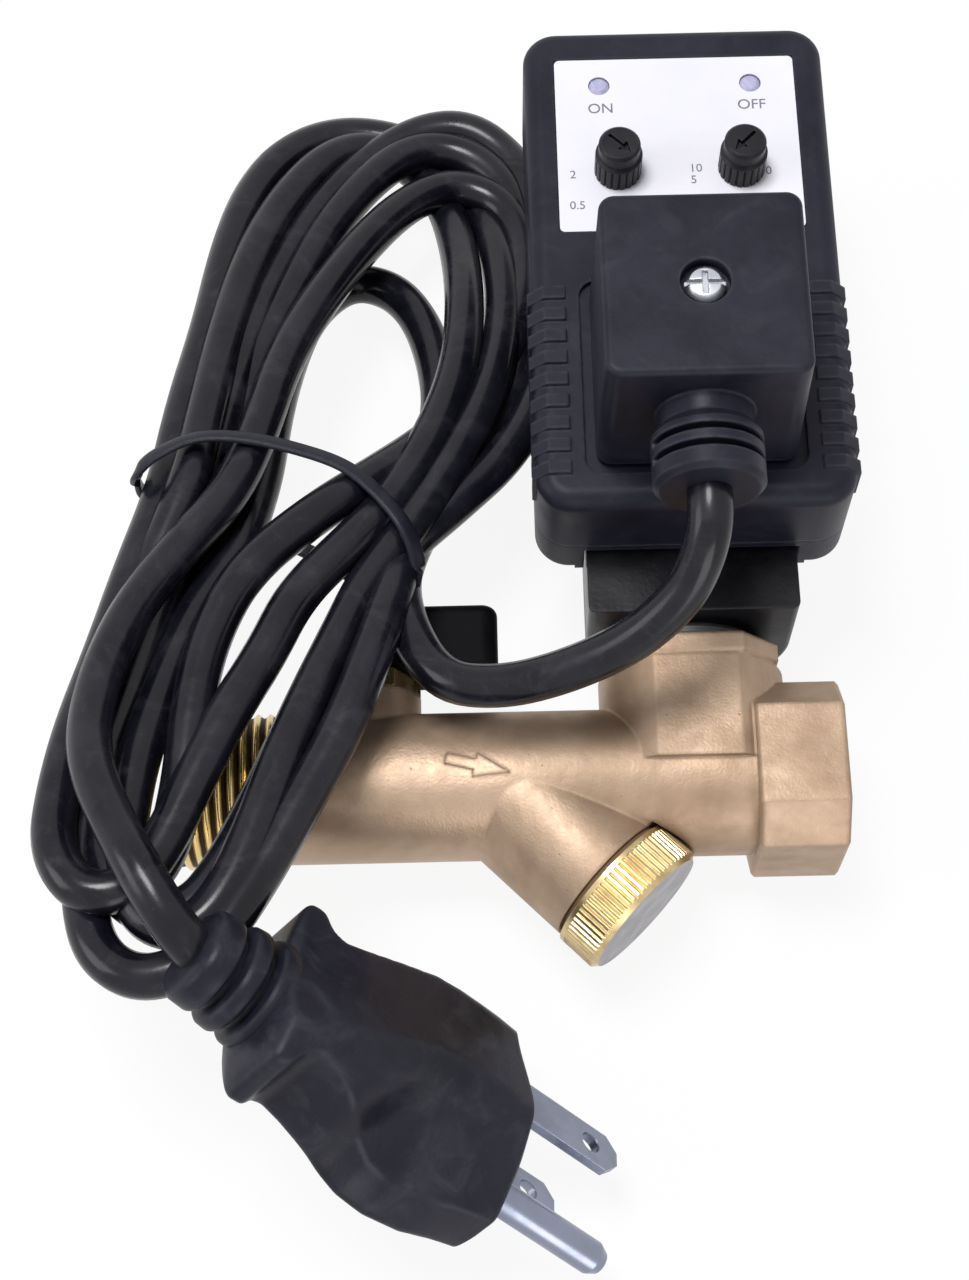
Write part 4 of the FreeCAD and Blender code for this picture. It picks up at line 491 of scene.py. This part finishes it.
FINISHES = {
    "cast_brass": sand_cast_brass(),
    "bright_brass": machined_metal("bright_brass", (0.66, 0.50, 0.26), 0.27, 0, 1800.0, 0.00003, 0.0002,
                                   (0.50, 0.36, 0.17)),
    "stainless": machined_metal("stainless", (0.60, 0.59, 0.57), 0.3, 1, 3000.0),
    "zinc_steel": machined_metal("zinc_steel", (0.46, 0.47, 0.52), 0.32, 2, 1500.0, 0.000006, 0.00025),
    "nickel": machined_metal("nickel", (0.26, 0.28, 0.36), 0.3, 0, 900.0, 0.000003, 0.0004),
    # Steel darkened as painted shade, for the armature tube's foot that sits in shade under the coil.
    "steel_in_painted_shade": machined_metal("steel_in_painted_shade", (0.10, 0.10, 0.105), 0.45, 1, 2400.0, 0.00001),
    "seal_fibre": moulded_plastic("seal_fibre", (0.16, 0.10, 0.055), 0.7, 2000.0, 500.0, 0.00004),
    "black_case": moulded_plastic("black_case", (0.0098, 0.0100, 0.0185), 0.42, 2600.0, 700.0, 0.00007,
                                  (0.11, 0.11, 0.14), 0.0006),
    "black_connector": moulded_plastic("black_connector", (0.0108, 0.0110, 0.0195), 0.40, 2200.0, 500.0,
                                       0.00008, (0.13, 0.13, 0.16), 0.0006),
    # Black coil plastic, darkened past the case's black as painted shade for the shade under the timer's
    # overhang.
    "black_coil": moulded_plastic("black_coil", (0.0022, 0.0024, 0.0046), 0.34, 1800.0, 420.0, 0.00009,
                                  (0.04, 0.04, 0.052), 0.0005, specular=0.22),
    "black_handle": moulded_plastic("black_handle", (0.0018, 0.0018, 0.0026), 0.5, 1500.0, 380.0, 0.00008,
                                    (0.016, 0.016, 0.02), 0.0006, dust=0.06, specular=0.04),
    "knob_plastic": moulded_plastic("knob_plastic", (0.012, 0.012, 0.015), 0.34, 2600.0, 700.0, 0.00004,
                                    (0.08, 0.08, 0.095), 0.0002),
    "plug_vinyl": moulded_plastic("plug_vinyl", (0.0082, 0.0085, 0.0155), 0.36, 1700.0, 420.0, 0.0001,
                                  (0.05, 0.05, 0.066), 0.0007, 0.45, specular=0.2),
    "seal_rubber": moulded_plastic("seal_rubber", (0.012, 0.012, 0.013), 0.55, 2000.0, 500.0, 0.00004),
    "gasket_rubber": moulded_plastic("gasket_rubber", (0.03, 0.03, 0.033), 0.6, 2000.0, 500.0, 0.00005),
    "white_seat": moulded_plastic("white_seat", (0.75, 0.75, 0.73), 0.45, 1800.0, 500.0, 0.00003,
                                  (0.8, 0.8, 0.8)),
    "label_film": label_film(),
    "lamp_lens": lamp_lens(),
    "board": board_laminate(),
    "screen_mesh": woven_screen(),
    "cord_vinyl": cord_vinyl(),
    "thread_brass": thread_brass(),
    "cap_brass": cap_brass(),
    "label_ink": label_ink(),
}


def dress(piece, finish):
    """Gives a piece one finish and no other."""
    piece.data.materials.clear()
    piece.data.materials.append(FINISHES[finish])


def dress_cad_nodes():
    """Every node of the CAD model gets the finish of its material slot, save the few listed here; the
    armature tube gets steel darkened as painted shade.
    """
    own = {"connector_housing": "black_connector", "connector_insert": "black_connector",
           "armature_tube": "steel_in_painted_shade", "strainer_cap_seal": "seal_fibre", "strainer_cap": "cap_brass"}
    for part in frame["record"]["subparts"]:
        dress(nodes[part["node"]], own.get(part["node"], part["material_slot"]))


# The cord

LEAD_POINTS = [(0, 25.5, 45), (0, 21.2, 44.4), (-1, 17.2, 40.8), (-3.6, 13.6, 35.8), (-9.8, 10.2, 29.6),
               (-18.8, 8.1, 24.2), (-28.2, 7.2, 20.6), (-37.2, 9.4, 18.2)]
TAIL_POINTS = [(-71, -29.2, 34.4), (-75.2, -22.2, 35.4), (-78.8, -15.7, 32.8)]

# Each turn goes up the right leg, over the arch, down the left leg and round the bottom loop.
# Points are across, up the slope and over the middle plane of the hank, in millimetres.
FIRST_TURN = [(-43, -27, -1), (-41, -15, -3), (-35, -4, -3), (-27, 7, -2.5), (-23, 20, -2),
              (-22, 35, -2), (-23, 49, 0), (-27, 58, 1.5), (-33.5, 62.5, 2.5), (-41, 61.5, 3.2),
              (-48, 54, 3.3), (-54, 44, 3), (-59.5, 32, 1), (-64, 19, 0), (-68, 5, -2), (-71, -10, -3),
              (-76, -24, -3), (-81, -38, -3), (-83, -50, -3), (-82.5, -61, -3), (-81.5, -69.5, -3),
              (-77, -76, -3), (-70, -76, -3), (-65.5, -69, -3), (-61.5, -59, -3), (-57, -47, -3),
              (-52, -36, -3), (-47, -25, -3)]
SECOND_TURN = [(-42, -18, 0), (-34, -9, -1), (-26, -1, 0), (-20, 11, 1), (-17, 30, 1), (-19, 47, 1),
               (-23, 60, 1), (-30.5, 67, 3), (-39, 66.5, 3), (-48, 60, 2), (-56, 50, 1), (-63, 35, 0),
               (-67, 19, 1), (-70, 2, 0), (-73, -13, -1), (-77, -26, 0), (-80, -39, -2),
               (-83.5, -52, -3), (-85, -64, -4), (-84.5, -74, -4), (-82, -81.5, -4),
               (-76.5, -85.5, -3.5), (-70, -84.5, -2.5), (-65, -79, -1.5), (-60.5, -71, -1),
               (-55.5, -61, 0), (-50, -50, 1), (-46, -38, 2), (-43, -27, 2)]
THIRD_TURN = [(-41, -12, -3), (-38, 0, -4), (-36, 13, -5), (-37, 24, -6), (-39.5, 33, -6),
              (-44, 39.5, -6), (-50.5, 41.5, -6), (-56, 36.5, -6), (-59.5, 27, -5), (-62, 12, -3.5),
              (-63, -2, -3), (-66, -15, -3), (-72, -27, -2), (-75, -40, -1), (-78, -51, -1),
              (-79.5, -62, -2), (-79, -71, -2), (-75.5, -78, -2), (-69.5, -79.5, -1.5),
              (-65, -74.5, -0.5), (-61.5, -65.5, 0.5), (-58.5, -55, 1), (-54.5, -44, 1), (-50.5, -34, 1),
              (-47, -25, 1)]
FOURTH_TURN = [(-41, -16, 2), (-35, -5, 2.5), (-29, 8, 2.5), (-26, 24, 1), (-26, 38, 0), (-29, 53, -2),
               (-35, 64, -2), (-43.5, 69, -1), (-53, 69.5, 0), (-61.5, 64, 1), (-67, 54, 1),
               (-70, 41, 1), (-72, 25, 1), (-75, 9, 1), (-77, -6, 0), (-81, -22, 0), (-84, -36, 0),
               (-87, -48, 0), (-88.5, -58, 0), (-88.8, -67, 0), (-85, -74, 0), (-78.5, -74.5, 0),
               (-74, -68, 0), (-70, -58, 1.5), (-66, -48, 2), (-61, -38, 2), (-57, -28, 2.5),
               (-50, -20, 3)]
FIFTH_TURN = [(-43, -12, 3.5), (-37, 0, 4), (-33, 13, 4), (-32, 28, 3), (-33, 43, 0), (-35.5, 55, -1.5),
              (-40, 62, -1), (-47, 65, 1), (-54, 61.5, 2.5), (-60.5, 52, 3), (-66, 38, 3), (-69, 23, 3),
              (-71, 8, 3.5), (-73, -7, 3), (-77.5, -19, 0.5), (-82, -31, -2), (-85.5, -43, -3.5),
              (-87.5, -54, -4), (-87.5, -64, -4), (-84, -71.5, -4), (-78, -73, -3.5), (-73.5, -67.5, -2),
              (-71.5, -58, 0), (-71, -47, 1.5), (-69, -35, 2.8), (-64, -24, 4), (-54, -14.5, 4.5)]
LAST_RUN = [(-46, -8, 4), (-38, 1, 1), (-29, 12, -1), (-24, 24, 0), (-22, 36, 0), (-23, 46.5, 0),
            (-27.5, 53, 1), (-34.5, 54.5, 2), (-41.5, 49.5, 3), (-48, 40, 4), (-55, 27, 4.5),
            (-60, 15, 4.5), (-63, 1, 4.5), (-67, -11, 4), (-73.5, -20, 4), (-79.5, -30, 4),
            (-83, -41, 4.8), (-84.2, -52, 6), (-82.5, -61, 8.2)]


def make_cord():
    """The mains cord: one spline from the connector through the hank's turns and into the plug."""
    along, start = Vector(plug_axes()[0]), Vector(PLUG_START)
    turns = FIRST_TURN + SECOND_TURN + THIRD_TURN + FOURTH_TURN + FIFTH_TURN + LAST_RUN
    tail = [*reversed(TAIL_POINTS), start, start + along * 4]
    route = [(0, 29, 45), *LEAD_POINTS, *[on_hank(*p) for p in turns], *tail]
    curve = bpy.data.curves.new("mains_cord", "CURVE")
    curve.dimensions = "3D"
    spline = curve.splines.new("NURBS")
    spline.points.add(len(route) - 1)
    spline.points.foreach_set("co", np.hstack([all_at(route), np.ones((len(route), 1))]).ravel())
    spline.order_u = 3
    spline.use_endpoint_u = True
    spline.resolution_u = 8
    curve.bevel_depth = CORD_RADIUS * MM
    curve.bevel_resolution = 5
    curve.use_fill_caps = True
    cord = bpy.data.objects.new("mains_cord", curve)
    bpy.context.scene.collection.objects.link(cord)
    cord.data.materials.append(FINISHES["cord_vinyl"])
    return cord


STRAP_HALF_WIDTH, STRAP_HALF_THICKNESS = 1.25, 0.5
STRAP_SQUARENESS = 0.6
STRAP_STEPS = 12
TIE_TOP = [(-81.2, -5.5, 1.5), (-80.4, -6.4, 5), (-77.6, -5.1, 7), (-72, -2.8, 7.8), (-65, -3.2, 8.1),
           (-57, -5.6, 8.1), (-50, -9, 8), (-45, -13.8, 7.4), (-41.2, -18.9, 5.8), (-39.6, -23, 2)]
TIE_UNDER = [(-41, -24.5, -3.5), (-46, -21, -5.8), (-55, -14, -6.6), (-66, -8, -6.6), (-75, -5, -5.8),
             (-80.3, -5, -2.5)]


def make_tie():
    """The thin flat tie round the hank: a rounded strap section carried along a closed loop."""
    loop = np.array([on_hank(*p) for p in TIE_TOP + TIE_UNDER])
    count = len(loop)
    t = np.linspace(0, count, count * STRAP_STEPS, endpoint=False)
    i = t.astype(int)
    f = (t - i)[:, None]
    a, b, c, d = (loop[(i + k) % count] for k in (-1, 0, 1, 2))
    line = 0.5 * (2 * b + (c - a) * f + (2 * a - 5 * b + 4 * c - d) * f ** 2
                  + (3 * b - a - 3 * c + d) * f ** 3)
    along = np.roll(line, -1, 0) - np.roll(line, 1, 0)
    along /= np.linalg.norm(along, axis=1)[:, None]
    outwards = line - line.mean(0)
    outwards -= (outwards * along).sum(1)[:, None] * along
    outwards /= np.linalg.norm(outwards, axis=1)[:, None]
    over = np.array([0, math.sin(HANK_TILT), math.cos(HANK_TILT)])
    up = np.where((line - line.mean(0)) @ over > 0, 1, -1)[:, None] * over
    face = outwards * 0.35 + up * 0.65
    face -= (face * along).sum(1)[:, None] * along
    face /= np.linalg.norm(face, axis=1)[:, None]
    side = np.cross(along, face)
    angle = np.linspace(0, 2 * np.pi, 16, endpoint=False)
    wide = STRAP_HALF_WIDTH * np.sign(np.cos(angle)) * np.abs(np.cos(angle)) ** STRAP_SQUARENESS
    thick = STRAP_HALF_THICKNESS * np.sign(np.sin(angle)) * np.abs(np.sin(angle)) ** STRAP_SQUARENESS
    ring = line[:, None] + side[:, None] * wide[None, :, None] + face[:, None] * thick[None, :, None]
    rows, columns = ring.shape[:2]
    faces = grid_faces(rows + 1, columns) % (rows * columns)
    piece = add_mesh("cord_strap", all_at(ring.reshape(-1, 3)), faces)
    face_outwards(piece)
    dress(piece, "plug_vinyl")
    return piece


# The mains plug. Its section is where six flat sides meet; each row gives their distances from its axis at
# one place along it: beside the prongs, upper face, upper slope, earth side, lower slope and lower face.
PLUG_SIDES = [(0.0, 1.0), (1.0, 0.0), (0.82, -0.572), (0.0, -1.0), (-0.955, -0.297), (-1.0, 0.0)]
PLUG_STATIONS = [
    (9.2, 6.6, 6.4, 6.8, 6.6, 6.4, 6.4), (10.0, 12.0, 7.2, 9.6, 12.2, 9.0, 7.2),
    (11.0, 13.4, 7.6, 11.0, 13.4, 9.6, 7.6), (13.2, 13.2, 7.9, 11.4, 13.2, 9.6, 7.8),
    (14.6, 10.4, 8.1, 11.4, 11.2, 9.2, 8.0), (16.5, 9.0, 8.6, 11.4, 10.4, 9.2, 8.4),
    (20.0, 9.6, 9.1, 11.0, 11.0, 9.8, 8.8), (26.0, 11.6, 9.4, 9.6, 12.6, 11.2, 9.2),
    (32.0, 13.6, 9.5, 8.2, 14.0, 13.0, 9.6), (37.0, 14.0, 9.5, 7.6, 14.2, 13.6, 9.8),
    (43.0, 14.0, 9.5, 7.5, 13.8, 13.0, 9.6), (47.0, 14.0, 9.4, 7.5, 13.2, 11.6, 9.3),
    (50.8, 13.8, 9.2, 7.4, 12.6, 10.8, 9.0),
]
PLUG_CRISP = 30.0
PLUG_ROWS, PLUG_COLUMNS = 150, 192
PLUG_FRONT_END = 50.8
DOME_DEPTH, DOME_EDGE = 3.4, 1.2
HOLLOW_DEPTH = 3.6

# The front's last two rings: their share across, their share up, and how far on they lie.
PLUG_FRONT_RINGS = [(0.95, 0.93, 0.55), (0.75, 0.72, 0.75)]


def make_plug():
    """The moulded plug: six-sided sections with rounded corners, a scooped grip and a domed front."""
    stations = np.array(PLUG_STATIONS)
    s = np.linspace(stations[0, 0], stations[-1, 0], PLUG_ROWS)
    reach = np.array([np.interp(s, stations[:, 0], stations[:, k + 1]) for k in range(6)])
    for _ in range(3):
        reach[:, 1:-1] = (reach[:, :-2] + reach[:, 1:-1] * 2 + reach[:, 2:]) / 4
    angle = np.linspace(0, 2 * np.pi, PLUG_COLUMNS, endpoint=False)
    y, z = np.cos(angle), np.sin(angle)
    facing = np.array([up * z + across * y for up, across in PLUG_SIDES]).clip(0.0)
    size = ((facing[:, None, :] / reach[:, :, None]) ** PLUG_CRISP).sum(0) ** (-1 / PLUG_CRISP)
    y, z, s = size * y, size * z, np.broadcast_to(s[:, None], size.shape).copy()
    depth = HOLLOW_DEPTH * hollow_mask(s, y, z)
    y, z = y + 0.5 * depth, z - 0.85 * depth
    front = smoothstep(30.0, PLUG_FRONT_END, s)
    s = s - DOME_DEPTH * front * smoothstep(0.0, 14.0, y) - DOME_EDGE * front * smoothstep(4, 11, np.abs(z))
    place = np.stack([s, y, z], -1)
    ends = [place[-1:] * np.array([1, across, up]) + np.array([on, 0, 0])
            for across, up, on in PLUG_FRONT_RINGS]
    rings = np.concatenate([place, *ends])
    plug = closed_skin("plug_shell", all_at(rings @ plug_axes() + np.array(PLUG_START)))
    dress(plug, "plug_vinyl")
    return plug


def ridge_line(s):
    """How far across the plug its upper face ends and the slope to the earth side starts."""
    return -6.0 + 6.5 * smoothstep(17.0, 37.0, s)


def hollow_mask(s, y, z):
    """Where a finger rests: from 0 at the ridge to 1 on the slope, deepest before the front block."""
    start = ridge_line(s) - 0.6 - 6.5 * (1 - smoothstep(19.0, 37.0, s))
    across = smoothstep(0.0, 8.0, start - y)
    along = smoothstep(15.0, 33.0, s) * (1 - smoothstep(34.0, 45.0, s))
    return across * along * smoothstep(-13.0, 1.0, z)


RELIEF_PROFILE = [(-1.5, 3.2), (-1.5, 5.4), (-1.1, 6.2), (-0.4, 6.6), (2.0, 6.75), (2.5, 6.5),
                  (2.8, 5.0), (3.7, 5.0), (4.0, 6.9), (4.5, 7.25), (6.0, 7.4), (6.5, 7.1), (6.8, 5.4),
                  (7.8, 5.4), (8.1, 7.4), (8.6, 7.7), (9.6, 7.8), (10.6, 7.6), (12.0, 7.2)]
RELIEF_COLUMNS = 72


def make_relief():
    """The plug's ringed strain relief: a profile turned about the plug's axis."""
    profile = np.array(RELIEF_PROFILE)
    angle = np.linspace(0, 2 * np.pi, RELIEF_COLUMNS, endpoint=False)
    rings = np.stack([np.broadcast_to(profile[:, :1], (len(profile), RELIEF_COLUMNS)),
                      profile[:, 1:] * np.cos(angle), profile[:, 1:] * np.sin(angle)], -1)
    relief = closed_skin("plug_relief", all_at(rings @ plug_axes() + np.array(PLUG_START)))
    sharpen = relief.modifiers.new("Edges", "BEVEL")
    sharpen.width = 0.2 * MM
    sharpen.segments = 2
    dress(relief, "plug_vinyl")
    return relief


# The inlet's thread

THREAD_START, THREAD_END = -75.0, -60.2
THREAD_ROOT, THREAD_HEIGHT = 10.62, 0.62
THREAD_ROWS, THREAD_COLUMNS = 150, 72


def make_thread():
    """The ridges of the inlet's pipe thread: a radius that waves once a pitch and turns with the angle."""
    rows, columns = THREAD_ROWS, THREAD_COLUMNS
    x = np.linspace(THREAD_START, THREAD_END, rows)[:, None]
    angle = np.linspace(0, 2 * np.pi, columns, endpoint=False)[None, :]
    wave = 0.5 + 0.5 * np.cos(2 * np.pi * (x / THREAD_PITCH) - angle)
    ends = smoothstep(THREAD_START, -74.2, x) * (1 - smoothstep(-61.2, THREAD_END, x))
    radius = THREAD_ROOT + THREAD_HEIGHT * ends * wave ** 1.3
    skin = np.stack([np.broadcast_to(x, radius.shape), radius * np.cos(angle), radius * np.sin(angle)], -1)
    inner = skin[[-1, 0]] * np.array([1, 0.96, 0.96])
    rings = np.concatenate([skin, inner])
    faces = grid_faces(rows + 3, columns) % ((rows + 2) * columns)
    thread = add_mesh("inlet_thread_ridges", all_at(rings.reshape(-1, 3)), faces)
    face_outwards(thread)
    depth = thread.data.attributes.new("crest", "FLOAT", "POINT")
    crest = np.concatenate([np.broadcast_to(wave, radius.shape).ravel(), np.zeros(2 * columns)])
    depth.data.foreach_set("value", crest.astype(np.float32))
    dress(thread, "thread_brass")
    return thread


# The dial label's print

CAPITAL_SHARE = 0.7
INK_THICKNESS = 0.01
PRINT_LIFT = 0.04
LAMP_WORD_HEIGHT, DIAL_NUMBER_HEIGHT = 1.7, 1.35


def add_words(words, x, y, height):
    """Flat letters on the label as a mesh, centred on a place of the drawing."""
    text = bpy.data.curves.new("words", "FONT")
    text.body = words
    text.size = height * MM / CAPITAL_SHARE
    text.align_x, text.align_y = "CENTER", "CENTER"
    text.extrude = INK_THICKNESS * MM
    holder = bpy.data.objects.new("words", text)
    bpy.context.scene.collection.objects.link(holder)
    bpy.context.view_layer.update()
    mesh = bpy.data.meshes.new_from_object(holder.evaluated_get(bpy.context.evaluated_depsgraph_get()))
    bpy.data.objects.remove(holder)
    mesh.transform(Matrix.Translation(at(x, y, TIMER_FRONT + PRINT_LIFT)))
    return mesh


LAMP_WORDS = [("ON", -11.2, 95.4), ("OFF", 11.3, 95.6)]
DIALS = [("0.5", -15.2, 78.6), ("2", -15.7, 83.9), ("6", -6.3, 84.6), ("10", -6.6, 78.6),
         ("0.5", 2.2, 78.6), ("5", 2.0, 82.6), ("10", 2.4, 84.6), ("40", 12.6, 83.9), ("45", 12.0, 78.6)]


def make_print():
    """The generic marks of the label: the two lamps' states and the numbers round the dials."""
    words = [(word, x, y, LAMP_WORD_HEIGHT) for word, x, y in LAMP_WORDS]
    words += [(number, x, y, DIAL_NUMBER_HEIGHT) for number, x, y in DIALS]
    work = bmesh.new()
    for word in words:
        mesh = add_words(*word)
        work.from_mesh(mesh)
        bpy.data.meshes.remove(mesh)
    mesh = bpy.data.meshes.new("label_print")
    work.to_mesh(mesh)
    work.free()
    piece = bpy.data.objects.new("label_print", mesh)
    bpy.context.scene.collection.objects.link(piece)
    dress(piece, "label_ink")
    return piece


# Camera, light and floor

CAMERA_PLACE = (-29.84, -112.37, 325.23)
CAMERA_TURN = (0.3946483, 0.0055801, -0.0218810)
SENSOR_MM = 36
PHOTO_HEIGHT_PIXELS = 1280
FOCAL_PIXELS = 2360.2
LENS_MM = FOCAL_PIXELS / PHOTO_HEIGHT_PIXELS * SENSOR_MM
FLOOR_REACH = 3
FLOOR_WHITE_SHARE = 0.9
SKY_STRENGTH = 0.34

# Each lamp's name, place, aim, size and power, in metres and watts.
LAMPS = [("Key", (-0.16, 0.12, 0.92), (0, 0, 0.02), 0.3, 6.6),
         ("Front", (0.25, -0.85, 0.2), (0, 0, 0.03), 0.5, 2.3),
         ("Side", (-0.75, -0.1, 0.4), (0, 0, 0.02), 0.4, 1.6)]


def make_camera():
    """The camera at the photograph's place; its turn is a rotation vector."""
    data = bpy.data.cameras.new("Camera")
    data.lens = LENS_MM
    data.sensor_width = SENSOR_MM
    data.clip_start = 0.01
    data.clip_end = 10
    camera = bpy.data.objects.new("Camera", data)
    turn = Vector(CAMERA_TURN)
    aim = Matrix.Rotation(turn.length, 4, turn.normalized())
    camera.matrix_world = Matrix.Translation(at(*CAMERA_PLACE)) @ aim
    bpy.context.scene.collection.objects.link(camera)
    bpy.context.scene.camera = camera


def add_lamp(name, place, aim, size, power):
    """A square area lamp that points at a place."""
    data = bpy.data.lights.new(name, "AREA")
    data.size = size
    data.energy = power
    lamp = bpy.data.objects.new(name, data)
    lamp.location = place
    lamp.rotation_euler = (Vector(aim) - Vector(place)).to_track_quat("-Z", "Y").to_euler()
    bpy.context.scene.collection.objects.link(lamp)


def white_to_the_eye(tree, lit, glow, share):
    """Mixes plain white into what the camera and reflections see, and leaves the light itself alone."""
    ray = tree.nodes.new("ShaderNodeLightPath")
    seen = mathn(tree, "MAXIMUM", ray.outputs["Is Camera Ray"],
                 mathn(tree, "MAXIMUM", ray.outputs["Is Glossy Ray"], ray.outputs["Is Transmission Ray"]))
    mix = add_node(tree, "ShaderNodeMixShader", [("Fac", mathn(tree, "MULTIPLY", seen, share))])
    tree.links.new(lit, mix.inputs[1])
    tree.links.new(glow, mix.inputs[2])
    return mix.outputs[0]


def make_studio():
    """A pale floor, a soft sky and three large lamps."""
    far = FLOOR_REACH
    corners = [(-far, -far, 0), (far, -far, 0), (far, far, 0), (-far, far, 0)]
    floor = add_mesh("floor", corners, [(0, 1, 2, 3)], smooth=False)
    material, tree, shader = new_material("floor", (0.88, 0.88, 0.89), 0.75)
    faint = noise(tree, object_place(tree), 8.0)
    tree.links.new(blend_colours(tree, faint, (0.87, 0.87, 0.885, 1), (0.9, 0.9, 0.915, 1)),
                   shader.inputs["Base Color"])
    glow = add_node(tree, "ShaderNodeEmission", [("Color", (1, 1, 1, 1)), ("Strength", 1.0)])
    out = tree.nodes["Material Output"]
    seen = white_to_the_eye(tree, shader.outputs[0], glow.outputs[0], FLOOR_WHITE_SHARE)
    tree.links.new(seen, out.inputs["Surface"])
    floor.data.materials.append(material)
    world = bpy.data.worlds.new("Studio")
    bpy.context.scene.world = world
    world.use_nodes = True
    sky = world.node_tree
    soft = sky.nodes["Background"]
    soft.inputs["Color"].default_value = (0.94, 0.95, 1.0, 1)
    soft.inputs["Strength"].default_value = SKY_STRENGTH
    plain = add_node(sky, "ShaderNodeBackground", [("Color", (1, 1, 1, 1)), ("Strength", 1.0)])
    backdrop = white_to_the_eye(sky, soft.outputs[0], plain.outputs[0], 1.0)
    sky.links.new(backdrop, sky.nodes["World Output"].inputs[0])
    for lamp in LAMPS:
        add_lamp(*lamp)
    bpy.context.scene.view_settings.view_transform = "Standard"


dress_cad_nodes()
make_camera()
make_studio()

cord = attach(make_cord(), "valve")
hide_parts("cord_lead", "cord_tail", "cord_hank")

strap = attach(make_tie(), "valve")
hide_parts("cord_tie")

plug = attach(make_plug(), "valve")
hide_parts("plug_body")
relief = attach(make_relief(), "valve")

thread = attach(make_thread(), "valve")

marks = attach(make_print(), "valve")
